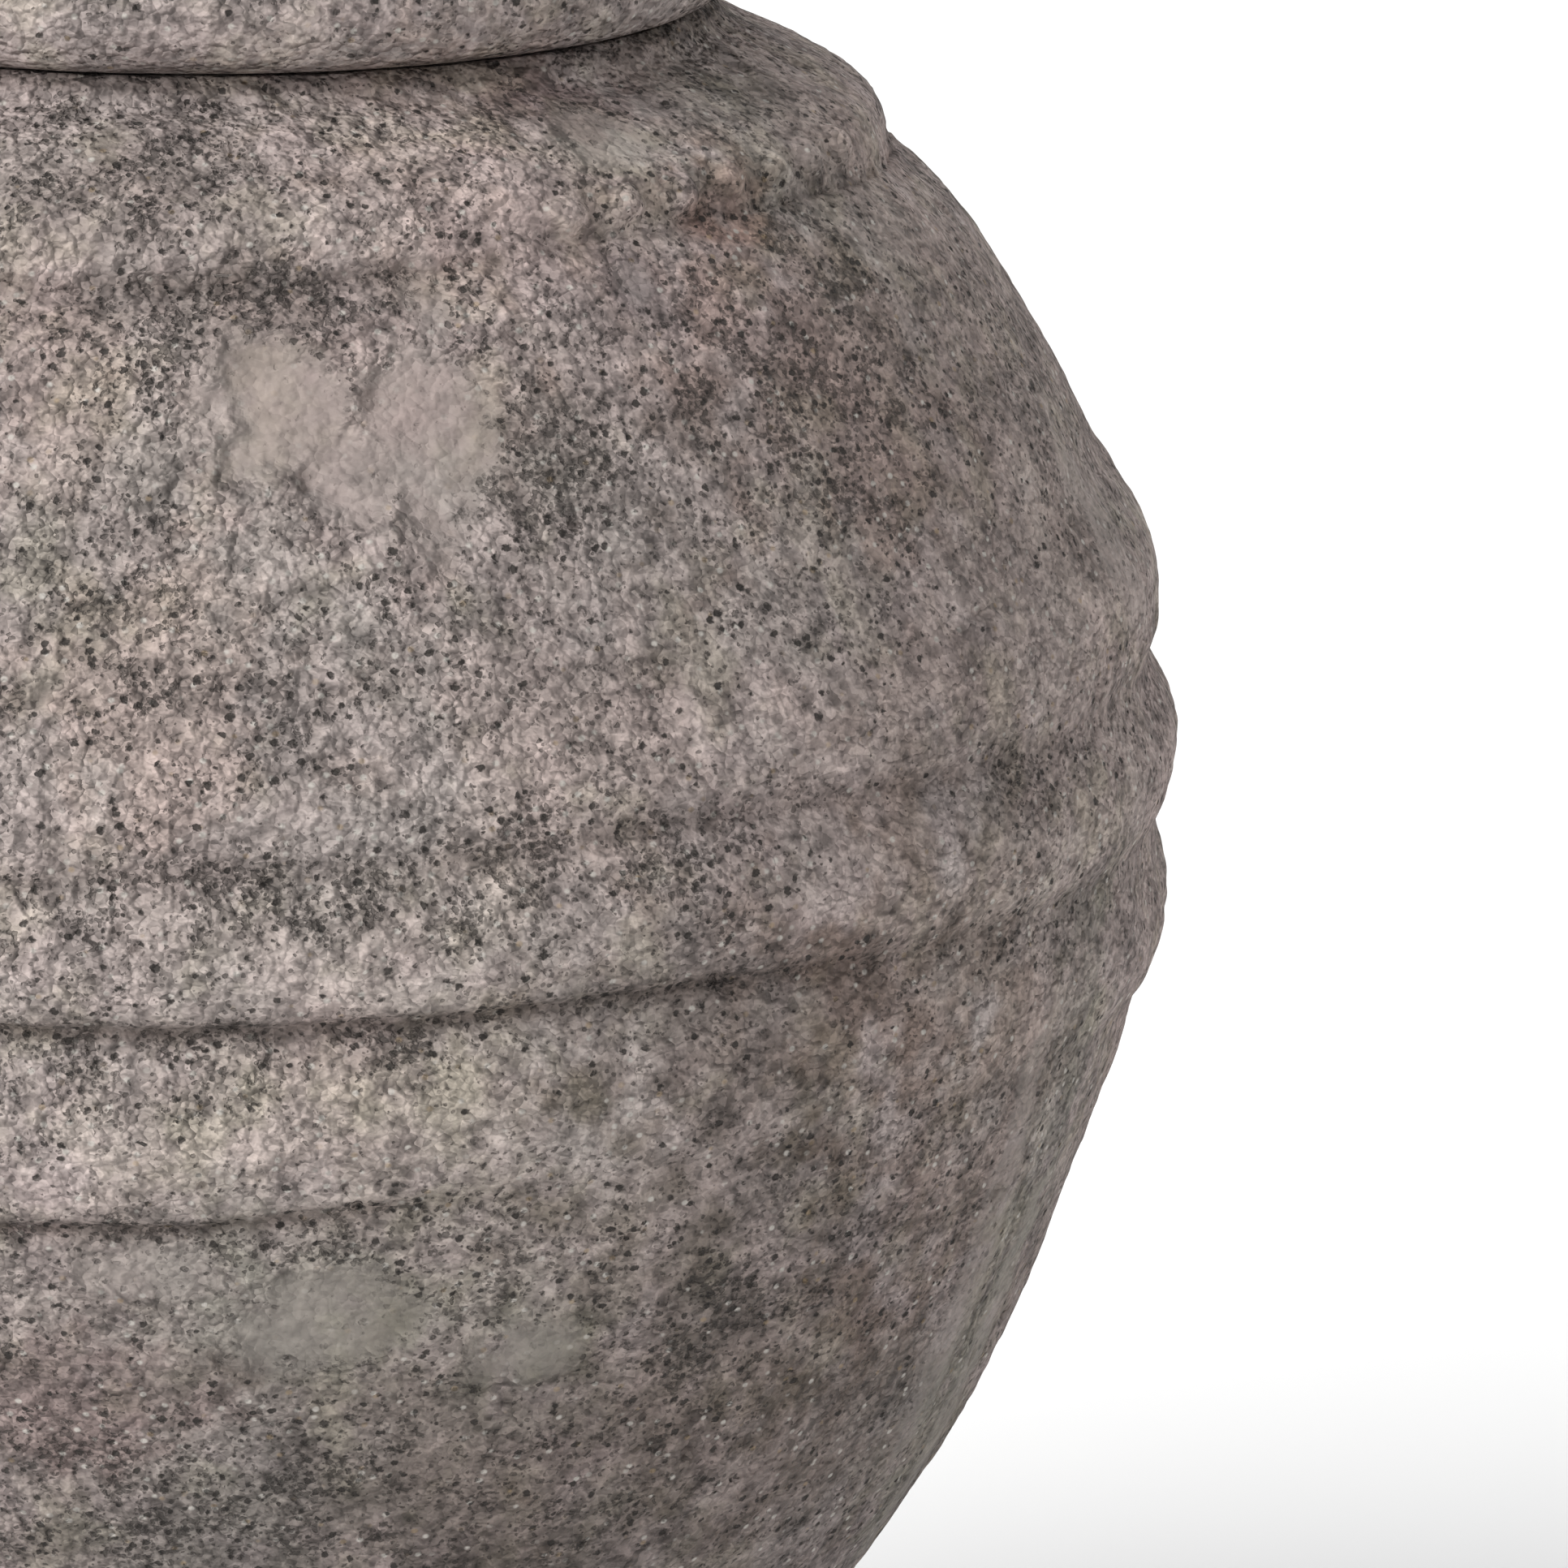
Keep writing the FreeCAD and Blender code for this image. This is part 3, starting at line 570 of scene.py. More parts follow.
def make_belly():
    mesh = make_jar_blank()
    refine_worn_side(mesh)
    belly = bpy.data.objects.new("belly_stone_worn", mesh)
    bpy.context.scene.collection.objects.link(belly)

    # put the outside exactly on its profile, away from the windows' edges, and chip those
    points = get_points(belly)
    radius = radius_of(points)
    height = points[:, 2]
    gap = window_distance(points)
    direction = points[:, :2] / np.maximum(radius, 1e-6)[:, None]
    outer = smooth(3.2, 1.2, np.abs(radius - jar_radius(height)))
    outer = outer * (height > FOOT_TOP + 0.5) * (height < BELLY_TOP - 0.8)
    near_window = (gap > -2.5) & (gap < 7) & (radius > CHAMBER_RADIUS - 8) & (np.abs(points[:, 1]) > 60)
    shift = (jar_radius(height) - radius) * outer * smooth(1.0, 3.0, gap)
    points[:, :2] += direction * shift[:, None]
    edges = np.empty(len(mesh.edges) * 2, np.int32)
    mesh.edges.foreach_get("vertices", edges)
    chipping = np.where(near_window, 0.70 + 0.15 * noise(points, 14, 81), 0.0)
    points = soften(points, edges.reshape(-1, 2), chipping, detail(14, 5))

    radius, angle, height = radius_of(points), angle_of(points), points[:, 2]
    masks = weather(points)
    wobble = 0.9 * noise(points, 30, 91) + 0.5 * noise(points, 9, 92)
    raised, groove, crest = bands(angle, height, wobble)
    lift = raised + unevenness(points, masks, 70, 0.75, 0.45, 0.30, 0.14, 0.22, 0.45)
    depth = dents(points, 5, 260, 70, 400, (0.9, 2.6))
    for spot_angle, spot_height, size, deep in HOLES:
        away = np.hypot(arc_length(angle, spot_angle, radius), height - spot_height) / size
        depth = np.maximum(depth, deep * (1 - smooth(0.5, 1.15, away + 0.25 * noise(points, 2.0, 98))))
    # the rim turns in to the joint
    lift -= 0.2 * smooth(BELLY_TOP - 5, BELLY_TOP - 0.2, height)
    lift -= joint_furrow(angle) * hump(height, BELLY_TOP - 2.5, 2.6)
    outer = smooth(4.5, 2.0, np.abs(radius - jar_radius(height))) * (height > FOOT_TOP + 0.5)
    points = points + jar_normals(direction, height) * ((lift - depth) * outer)[:, None]

    # tool marks inside the chamber and on the window reveals
    inner = 1 - outer
    marks = 0.5 * rough(points * np.array([1, 1, 0.45]), 16, 101, 3) - 0.3
    marks = marks * inner * (radius > BASE_RADIUS + 2) * (height > FOOT_TOP + 4)
    points += get_normals(belly) * marks[:, None]
    points[:, 2] += joint_wave(angle) * smooth(372, 402, height) * outer
    set_points(belly, points)

    worn = 0.25 * smooth(3, 0, np.abs(gap))
    joint = hump(height, BELLY_TOP + 0.3, 1.5) * joint_dirt(angle)
    furrow = hump(height, BELLY_TOP - 4, 3.2) * np.clip(joint_dirt(angle) - 0.1, 0, 1) * outer
    # painted shade in the undercuts under the bands' lips, soiling along the joint and its furrow, less at
    # the worn window edges, and darker inside the chamber
    soiling_and_shade = groove + joint + 0.5 * furrow - worn + 0.5 * inner * (radius < CHAMBER_RADIUS - 1)
    # the band crests lightened, out of their grooves: worn paler, and a painted highlight
    masks["tone"] = masks["tone"] * (1 + 0.18 * crest * (1 - groove))[:, None]
    masks["pits"] = np.clip(masks["pits"] + 0.35 * groove + 0.8 * furrow - 0.30 * crest, 0, 1)
    finish_stone(belly, masks, soiling_and_shade, "root", "belly_stone")


# ---------------------------------------------------------------- the joint under the shoulder


def joint_wave(angle):
    """How far the joint under the shoulder wanders up from its level, in mm."""
    return by_angle(angle, [(-90, -1), (-19, -1.6), (-4, -0.8), (11, -0.2), (25, 2.2), (37, 3.6), (52, 3.0),
                            (70, 1.4), (90, 0.2), (150, -0.6), (210, 1.0), (250, 0.2)])


def joint_furrow(angle):
    """How deep the stones are worn in along the joint under the shoulder, in mm."""
    return by_angle(angle, [(-60, 0.5), (-15, 0.9), (12, 0.8), (26, 0.3), (40, 0.5), (60, 0.3), (90, 0.6),
                            (240, 0.5)])


def joint_dirt(angle):
    """How dirty the joint under the shoulder is."""
    return by_angle(angle, [(-60, 0.6), (-15, 0.55), (12, 0.5), (24, 0.22), (34, 0.12), (60, 0.12), (84, 0.2),
                            (100, 0.4), (120, 0.6), (240, 0.6)])


# ---------------------------------------------------------------- turned pieces


def signed_volume(thing):
    """Six times the volume inside a closed mesh; negative when it is inside out."""
    mesh = thing.data
    mesh.calc_loop_triangles()
    corners = np.empty(len(mesh.loop_triangles) * 3, np.int32)
    mesh.loop_triangles.foreach_get("vertices", corners)
    points = get_points(thing)[corners.reshape(-1, 3)]
    return float(np.einsum("ij,ij->i", points[:, 0], np.cross(points[:, 1], points[:, 2])).sum())


def turn_outward(thing):
    """Make the faces of a closed mesh face outward."""
    if signed_volume(thing) < 0:
        thing.data.flip_normals()


def weld(thing):
    """Join the points that lie together on the axis."""
    shape = bmesh.new()
    shape.from_mesh(thing.data)
    bmesh.ops.remove_doubles(shape, verts=shape.verts, dist=1e-6)
    bmesh.ops.dissolve_degenerate(shape, edges=shape.edges, dist=1e-7)
    shape.to_mesh(thing.data)
    shape.free()
    thing.data.update()


def turned(name, outline, columns, step, closed=False):
    """A turned piece from an outline with points at most a step apart, facing outward."""
    points = resample(outline, step)
    if closed:
        points = points[:-1]
    else:
        points = [(max(radius, AXIS_RADIUS), height) for radius, height in points]
    thing = lathe(name, points, columns, closed)
    turn_outward(thing)
    return thing


# Weathered knobs along the shoulder's edge: angle from the front, height, half width
KNOBS = [(29.5, 409.0, 5.2), (35.5, 409.6, 5.4), (41.5, 410.2, 5.6), (47.5, 410.8, 5.4), (54.0, 411.6, 5.8),
         (60.0, 412.6, 5.2), (66.5, 412.4, 5.4)]


def make_shoulder():
    outline = [(84, 409), (86, 405), (139.0, 400.8), (141.3, 401.6), (141.3, 403.4), (140.7, 405.6),
               (139.7, 409), (138.3, 412), (136.6, 415), (133.6, 418), (128.6, 421.4), (121.0, 424.8),
               (112.5, 428.3), (107.4, 430.7), (104.6, 433.0), (102.8, 435.6), (101.0, SHOULDER_TOP),
               (86, SHOULDER_TOP), (84, SHOULDER_TOP - 1.6), (84, 409)]
    shoulder = turned("shoulder_stone_worn", outline, detail(1100, 480), detail(0.9, 2.0), closed=True)
    points = get_points(shoulder)
    radius, angle, height = radius_of(points), angle_of(points), points[:, 2]
    masks = weather(points)
    shown = smooth(99, 104, radius)
    outside = radius > 125
    lift = unevenness(points, masks, 60, 0.7, 0.5, 0.32, 0.14, 0.22, 0.4)

    # a row of weathered knobs along the edge, with a hollow between each two
    row = by_angle(angle, [(24, 0), (34, 1), (66, 1), (74, 0), (300, 0)]) * hump(height, 411, 5.0)
    knobs = np.zeros(len(points))
    for knob_angle, knob_height, size in KNOBS:
        away = np.hypot(arc_length(angle, knob_angle, radius), 1.1 * (height - knob_height)) / size
        knobs = np.maximum(knobs, np.cos(0.5 * np.pi * np.clip(away + 0.22 * noise(points, 4.0, 113), 0, 1)))
    lift += (2.6 * knobs - 0.9 * row) * outside

    # a low ring and a hollow under it, which show most at the front
    ring = hump(height - 0.5 * noise(points, 25, 111), 428.0, 1.8)
    hollow = hump(height, 420.5, 2.4) * (radius > 100)
    front = by_angle(angle, [(-60, 0.4), (-14, 1), (10, 1), (30, 0.3), (60, 0.2), (180, 0.5)])
    lift += front * (0.7 * ring - 0.9 * hollow)
    depth = dents(points, 9, 70, 408, 436, (0.9, 2.2))

    # the lower edge is worn in and crumbled, and runs into the belly without a gap
    worn_in = joint_furrow(angle) * hump(height, BELLY_TOP + 2, 2.6)
    crumbled = 0.35 + 1.2 * noise(points, 6.5, 117) + 0.8 * noise(points, 2.6, 118)
    worn_in = (worn_in + smooth(408.5, 403.5, height) * crumbled) * outside

    points = points + get_normals(shoulder) * ((lift - depth) * shown)[:, None]
    points[:, 2] = np.minimum(points[:, 2], SHOULDER_TOP + 0.2)
    points[:, 2] += joint_wave(angle) * smooth(424, 409, height) * smooth(118, 130, radius)
    points[:, :2] *= (1 - worn_in / np.maximum(radius, 1))[:, None]
    set_points(shoulder, points)
    soiling_and_shade = joint_dirt(angle) * smooth(407.0, 404.2, height) * (radius > 120)
    # painted shade in the crease where the cap's nose overhangs the shoulder
    soiling_and_shade += 0.8 * smooth(105.0, 103, radius) * (radius > 84.5)
    # painted shade in the hollow under the low ring and between the knobs
    soiling_and_shade += 0.25 * front * hollow + 0.42 * row * (1 - knobs) * outside
    # painted highlight on the knobs
    masks["tone"] = masks["tone"] * (1 + 0.16 * knobs * outside)[:, None]
    finish_stone(shoulder, masks, soiling_and_shade, "root", "shoulder_stone")


def make_cap():
    step_radius, step_height = 88, CAP_SEAT + 28
    nose = arc((98, CAP_SEAT + 14), 14, -88, 90, 40)
    cove = bend((step_radius, step_height), (40, CAP_TOP), 70, -1, 30)
    outline = [(0, SPIGOT_LOW), (80.5, SPIGOT_LOW), (82, SPIGOT_LOW + 1.5), (82, CAP_SEAT)] + nose
    outline += [(90, step_height + 0.3), (88.2, step_height + 0.6), (86.4, step_height + 1.3)] + cove[2:-1]
    outline += [(40, CAP_TOP), (TENON_HOLE_RADIUS, CAP_TOP)]
    outline += [(TENON_HOLE_RADIUS, CAP_TOP - 16), (0, CAP_TOP - 16)]
    cap = turned("cap_stone_worn", outline, detail(900, 420), detail(1.0, 2.0))
    points = get_points(cap)
    radius, height = radius_of(points), points[:, 2]
    masks = weather(points)
    nose_share = smooth(84, 90, radius)
    shown = nose_share * smooth(CAP_SEAT - 0.1, CAP_SEAT + 1.7, height)
    shown += (1 - nose_share) * smooth(464, 468, height) * smooth(36, 42, radius)
    lift = unevenness(points, masks, 55, 0.55, 0.3, 0.16, 0, 0.16, 0.3)
    depth = dents(points, 13, 90, 440, 488, (0.9, 2.4))
    points = points + get_normals(cap) * ((lift - depth) * np.clip(shown, 0, 1))[:, None]
    # the underside stays clear of the shoulder stone
    low = (radius > 83) & (height < 440)
    points[low, 2] = np.maximum(points[low, 2], CAP_SEAT + 0.05)
    set_points(cap, points)
    # painted shade under the nose where it sits on the shoulder, round the foot of the finial ring and in the
    # corner of the step
    soiling_and_shade = 0.8 * smooth(441, 438.0, height) * (radius > 82.5) + 0.4 * smooth(42, 38, radius)
    soiling_and_shade += 0.7 * smooth(3.0, 0.3, np.abs(radius - step_radius)) * (height > 464)
    masks["pits"] = np.clip(masks["pits"] - 0.25, 0, 1)
    finish_stone(cap, masks, soiling_and_shade, "cap", "cap_stone")


def make_foot():
    foot_radius, side_top = 150, 30
    cove = bend((foot_radius, side_top), (106, FOOT_TOP), 46, -1, 30)
    outline = [(0, 0), (146, 0), (148.6, 1.2), (foot_radius, 4), (foot_radius, 26)]
    outline += [(149.2, 28.6), (147.5, side_top)]
    outline += cove[3:-2] + [(107.5, FOOT_TOP - 0.6), (104, FOOT_TOP), (92, FOOT_TOP), (92, SOCKET_FLOOR)]
    outline += [(DOWEL_HOLE_RADIUS, SOCKET_FLOOR), (DOWEL_HOLE_RADIUS, DOWEL_HOLE_LOW), (0, DOWEL_HOLE_LOW)]
    foot = turned("foot_stone_worn", outline, detail(960, 480), detail(1.1, 2.2))
    points = get_points(foot)
    radius, height = radius_of(points), points[:, 2]
    masks = weather(points)
    shown = smooth(94, 98, radius) * smooth(0.0, 3.0, height)
    edge = smooth(7, 0, np.hypot(radius - foot_radius, height - 29))
    edge += smooth(6, 0, np.hypot(radius - foot_radius, height - 2))
    chips = edge * np.clip(rough(points, 15, 121, 3) + 0.1, 0, 1) * 3.2
    lift = unevenness(points, masks, 60, 0.6, 0.35, 0.2, 0, 0.2, 0.3) - chips
    depth = dents(points, 17, 130, 5, 56, (0.9, 2.8))
    points = points + get_normals(foot) * ((lift - depth) * shown)[:, None]
    points[:, 2] = np.maximum(points[:, 2], 0)
    set_points(foot, points)
    # darker towards the bottom of the side, and painted shade on the top under the belly and in the socket
    soiling_and_shade = 0.75 * smooth(12, 1, height + 2 * noise(points, 12, 122)) * (radius > 120)
    finish_stone(foot, masks, soiling_and_shade + 0.5 * smooth(112, 100, radius), "root", "foot_stone")


def make_finial_ring():
    side = bend((33, CAP_TOP), (33, COLLAR_TOP), 7.6, 1, 24)
    inside_low, inside_top = (TENON_HOLE_RADIUS, CAP_TOP), (TENON_HOLE_RADIUS, COLLAR_TOP)
    outline = [inside_low] + side + [inside_top, inside_low]
    ring = turned("finial_ring_worn", outline, detail(320, 180), 0.9, closed=True)
    radius, height = radius_of(get_points(ring)), get_points(ring)[:, 2]
    shown = smooth(12, 16, radius) * smooth(CAP_TOP, CAP_TOP + 1.5, height)
    shown = shown * smooth(COLLAR_TOP + 0.1, COLLAR_TOP - 1.5, height)
    finish_small_stone(ring, shown, "cap", "finial_ring", CAP_TOP, COLLAR_TOP, 23)


def make_finial():
    low, top = FINIAL_SEAT, LANTERN_TOP
    stem, widest, neck = (17, low + 6), (29, low + 28), (10, low + 58)
    outline = [(0, low - 30), (8, low - 30), (9, low - 29), (9, low)]
    outline += [(16, low), (17, low + 1), (16.4, low + 3.5)]
    outline += [stem] + bend(stem, widest, 26, 1, 20)[1:] + bend(widest, neck, 34, 1, 20)[1:]
    outline += bend(neck, (2, top), 24, -1, 12)[1:] + [(1, top), (0, top)]
    finial = turned("finial_worn", outline, detail(320, 180), 0.9)
    height = get_points(finial)[:, 2]
    shown = smooth(low, low + 1.5, height) * smooth(top, top - 3, height)
    finish_small_stone(finial, shown, "finial", "finial", low, top, 29)


def finish_small_stone(thing, shown, body, node, low, high, seed):
    """Weather a small turned stone between two heights, where it shows, and hand it over."""
    points = get_points(thing)
    masks = weather(points)
    lift = 0.35 * rough(points, 28, 93, 2) + 0.22 * noise(points, 9, seed) + 0.12 * noise(points, 3.1, 97)
    depth = dents(points, seed, 26, low + 2, high - 3, (0.7, 1.5))
    set_points(thing, points + get_normals(thing) * ((lift - depth) * shown)[:, None])
    masks["pits"] = np.clip(masks["pits"] - 0.15, 0, 1)
    # painted shade at the foot of the stone, where it sits
    finish_stone(thing, masks, 0.8 * smooth(low + 2.5, low, points[:, 2]), body, node)


def make_bed(name, node, outline, seed, worn_in=None):
    """A mortar joint with a hand-struck, crumbly face, worn in where a function of the angle says so."""
    bed = turned(name, outline, 480, 0.9, closed=True)
    points = get_points(bed)
    lift = 0.25 * rough(points, 9, seed, 3) - 0.15
    if worn_in:
        lift -= (0.9 + 1.1 * worn_in(angle_of(points))) * smooth(125, 135, radius_of(points))
    points = points + get_normals(bed) * lift[:, None]
    set_points(bed, points)
    finish_stone(bed, weather(points), np.zeros(len(points)), "root", node, "mortar")


def make_beds():
    shoulder_outline = [(120.4, 403.0), (138.4, 402.0), (140.5, 402.6), (140.9, 404.2), (140.0, 405.6),
                        (120.4, 406.4), (120.4, 403.0)]
    make_bed("shoulder_bed_struck", "shoulder_bed", shoulder_outline, 131, joint_furrow)
    hole_edge = (DOWEL_HOLE_RADIUS, SOCKET_FLOOR)
    foot_outline = [hole_edge, (92, SOCKET_FLOOR), (92, FOOT_TOP - 1), (90.5, FOOT_TOP - 0.1),
                    (86, FOOT_TOP + 0.4), (BASE_RADIUS, FOOT_TOP + 1.4), (BASE_RADIUS, BELLY_LOW),
                    (DOWEL_HOLE_RADIUS, BELLY_LOW), hole_edge]
    make_bed("foot_bed_struck", "foot_bed", foot_outline, 141)


# Runs of wax down the candle: angle, lowest height, width
DRIPS = [(20, 299, 1.5), (41, 309, 1.2), (112, 303, 1.4), (190, 296, 1.6), (205, 312, 1.1), (290, 306, 1.3)]


def make_candle():
    base = CANDLE_LOW + 0.1
    side = [(AXIS_RADIUS, base), (10.3, base), (10.8, base + 0.6), (10.85, 320.2)]
    lip = arc((9.2, 320.8), 1.7, -20, 110, 12)
    pool = [(7.6, 321.8), (6.2, 320.7), (4.2, 320.1), (2.2, 320.0), (1.3, 320.5), (1.02, 320.2)]
    pool += [(1.02, 316.4), (AXIS_RADIUS, 316.4)]
    candle = turned("candle_burnt", side + lip + pool, detail(240, 120), 0.5)
    points = get_points(candle)
    angle = angle_of(points) + FRONT
    radius, height = radius_of(points), points[:, 2].copy()
    swell = 0.10 * rough(points, 9, 151, 2)
    for drip_angle, lowest, width in DRIPS:
        across = arc_length(angle, drip_angle, np.maximum(radius, 1)) / width
        reach = np.hypot(across, np.minimum(height - lowest - width, 0) / width)
        run = np.sqrt(np.clip(1 - reach ** 2, 0, 1)) * (height > lowest - 1) * smooth(322.5, 318, height)
        bead = np.exp(-across ** 2 - ((height - lowest - width) / (1.2 * width)) ** 2)
        swell += width * (0.75 * run + 0.25 * bead)
    swell *= smooth(284, 288, height) * smooth(6, 9, radius)
    points[:, :2] += points[:, :2] / np.maximum(radius, 1e-6)[:, None] * swell[:, None]
    wavy_rim = 0.5 * noise(points * np.array([1, 1, 0]), 9, 152)
    points[:, 2] += wavy_rim * smooth(312, 320, height) * smooth(5, 8, radius)
    set_points(candle, points)
    hand_over(candle, "lamp", "candle", "wax")


def make_wick(rows=90, sides=24):
    """A three-lobed, twisted thread that curls over at its burnt end."""
    share = np.linspace(0, 1, rows)
    curl = smooth(0.55, 1.0, share)
    x = 1.3 * curl ** 1.5 + 0.12 * np.sin(7 * share)
    y = 0.5 * curl ** 2 - 0.1 * np.sin(5 * share)
    spine = np.stack([x, y, 316.5 + 14.2 * share - 0.6 * curl ** 2], -1)
    thick = 0.74 - 0.10 * share + 0.07 * np.sin(31 * share)
    thick[[0, -1]] *= 0.0003  # the end rings are drawn in to a point each, and welded
    turn = np.linspace(0, 2 * math.pi, sides, endpoint=False)
    reach = thick[:, None] * (1 + 0.13 * np.cos(3 * turn - 22 * share[:, None]))
    ring = np.stack([reach * np.cos(turn), reach * np.sin(turn), np.zeros_like(reach)], -1)
    vertices = (spine[:, None] + ring).reshape(-1, 3)
    wick = mesh_object("wick_charred", vertices * MM, grid_faces(rows - 1, rows, sides))
    weld(wick)
    hand_over(wick, "lamp", "wick", "cotton")


def make_dowel():
    """A turned pin with eased ends and three shallow grooves that key into the mortar."""
    side, low, high = 9.8, DOWEL_HOLE_LOW + 0.2, DOWEL_HOLE_TOP - 0.2
    outline = [(AXIS_RADIUS, low), (8.6, low), (side, low + 1.4)]
    for groove in (26, 46, 66):
        outline += [(side, groove - 1.4), (9.3, groove - 0.8), (9.3, groove + 0.8), (side, groove + 1.4)]
    outline += [(side, high - 1.4), (8.6, high), (AXIS_RADIUS, high)]
    dowel = turned("foot_dowel_turned", outline, 96, 0.6)
    hand_over(dowel, "root", "foot_dowel", "bronze")


# ---------------------------------------------------------------- finishes


class Graph:
    """A material's node tree, written as expressions."""

    def __init__(self, name):
        self.material = bpy.data.materials.new(name)
        self.material.use_nodes = True
        self.nodes = self.material.node_tree.nodes
        self.links = self.material.node_tree.links
        self.nodes.clear()
        self.output = self.nodes.new("ShaderNodeOutputMaterial")
        self.shader = self.nodes.new("ShaderNodeBsdfPrincipled")
        self.links.new(self.shader.outputs[0], self.output.inputs[0])
        metres = self.nodes.new("ShaderNodeTexCoord").outputs["Object"]
        self.place = self.run("ShaderNodeVectorMath", 0, {0: metres, "Scale": 1 / MM}, operation="SCALE")

    def feed(self, socket, value):
        if isinstance(value, bpy.types.NodeSocket):
            self.links.new(value, socket)
        else:
            socket.default_value = value

    def surface(self, values):
        """Feed the shader's own sockets and give the finished material."""
        for name, value in values.items():
            self.feed(self.shader.inputs[name], value)
        return self.material

    def run(self, kind, result, inputs=None, **settings):
        node = self.nodes.new(kind)
        for name, value in settings.items():
            setattr(node, name, value)
        for name, value in (inputs or {}).items():
            self.feed(node.inputs[name], value)
        return node.outputs[result]

    def math(self, operation, a, b=None, c=None, clamp=False):
        inputs = {0: a}
        if b is not None:
            inputs[1] = b
        if c is not None:
            inputs[2] = c
        return self.run("ShaderNodeMath", 0, inputs, operation=operation, use_clamp=clamp)

    def plus(self, a, b):
        return self.math("ADD", a, b)

    def minus(self, a, b):
        return self.math("SUBTRACT", a, b)

    def times(self, a, b):
        return self.math("MULTIPLY", a, b)

    def line(self, value, slope, start):
        return self.math("MULTIPLY_ADD", value, slope, start)

    def noise(self, scale, detail=2.0, roughness=0.5, distortion=0.0, place=None):
        """Noise with features of about 1 / scale mm."""
        inputs = {"Vector": place or self.place, "Scale": scale, "Detail": detail, "Roughness": roughness}
        return self.run("ShaderNodeTexNoise", 0, {**inputs, "Distortion": distortion})

    def cells(self, scale, result="Distance"):
        return self.run("ShaderNodeTexVoronoi", result, {"Vector": self.place, "Scale": scale})

    def cell_values(self, scale):
        """Two values from 0 to 1 that differ from cell to cell."""
        split = self.nodes.new("ShaderNodeSeparateColor")
        self.feed(split.inputs[0], self.cells(scale, "Color"))
        return split.outputs[0], split.outputs[1]

    def step(self, value, low, high, out_low=0.0, out_high=1.0):
        inputs = {"Value": value, "From Min": low, "From Max": high, "To Min": out_low, "To Max": out_high}
        return self.run("ShaderNodeMapRange", 0, inputs, interpolation_type="SMOOTHSTEP")

    def mix(self, factor, a, b, blend="MIX"):
        node = self.nodes.new("ShaderNodeMix")
        node.data_type, node.blend_type = "RGBA", blend
        self.feed(node.inputs[0], factor)
        self.feed(node.inputs[6], a)
        self.feed(node.inputs[7], b)
        return node.outputs[2]

    def attribute(self, name, result="Fac"):
        node = self.nodes.new("ShaderNodeAttribute")
        node.attribute_name = name
        return node.outputs[result]

    def ramp(self, value, stops):
        node = self.nodes.new("ShaderNodeValToRGB")
        self.feed(node.inputs[0], value)
        while len(node.color_ramp.elements) < len(stops):
            node.color_ramp.elements.new(0.5)
        for element, (place, colour) in zip(node.color_ramp.elements, stops):
            element.position, element.color = place, (*colour, 1)
        return node.outputs[0]

    def bump(self, height, distance, strength=1.0):
        inputs = {"Height": height, "Distance": distance * MM, "Strength": strength}
        return self.run("ShaderNodeBump", 0, inputs)


# Colours of the stone, linear: its tones by a slow noise, and what is mixed into them
STONE_TONES = [(0.28, (0.231, 0.196, 0.184)), (0.42, (0.275, 0.233, 0.221)), (0.52, (0.303, 0.257, 0.242)),
               (0.62, (0.306, 0.265, 0.247)), (0.75, (0.258, 0.227, 0.212))]
PINKISH, GREENISH = (0.292, 0.241, 0.229, 1), (0.300, 0.264, 0.224, 1)
SLURRY, SLURRY_RIM = (0.318, 0.286, 0.268, 1), (0.33, 0.295, 0.27, 1)
PALE_GRAIN, RUSTY_GRAIN = (0.52, 0.49, 0.45, 1), (0.33, 0.24, 0.14, 1)
HOLE_SHADE, SHADE_AND_SOILING_TONE = (0.034, 0.030, 0.027, 1), (0.30, 0.27, 0.25, 1)


def stone_holes(g, scale, least, most, share, ragged):
    """Ragged holes in a share of the cells, with a random size for each."""
    away = g.plus(g.cells(scale), ragged)
    size, pick = g.cell_values(scale)
    reach = g.step(size, 0.0, 1.0, least, most)
    hole = g.step(g.minus(reach, away), -0.12, 0.10)
    return g.times(hole, g.step(g.minus(share, pick), -0.03, 0.03))


def stone_grain(g):
    """What the stone's colour and its relief share: grains, holes between them, and smooth patches."""
    patch = g.attribute("patch")
    plain = g.math("SUBTRACT", 1.0, g.times(patch, 0.95), clamp=True)
    zone = g.step(g.noise(0.085, 3, 0.66), 0.42, 0.58)
    pitted = g.times(g.attribute("pits"), g.line(zone, 0.66, 0.30))
    ragged = g.line(g.noise(1.15, 1.0, 0.5), 0.62, -0.31)
    grit = g.noise(0.58, 1.4, 0.6)
    return SimpleNamespace(
        patch=patch, plain=plain, zone=zone, pitted=pitted, grit=grit,
        crumbs=g.noise(0.30, 1.6, 0.62), beads=g.cells(0.60),
        medium=stone_holes(g, 0.42, 0.15, 0.36, g.line(pitted, 0.74, 0.02), ragged),
        small=stone_holes(g, 0.76, 0.22, 0.42, g.line(pitted, 0.60, 0.02), ragged),
        hollows=g.step(g.minus(g.line(pitted, 0.21, 0.275), grit), -0.02, 0.05))


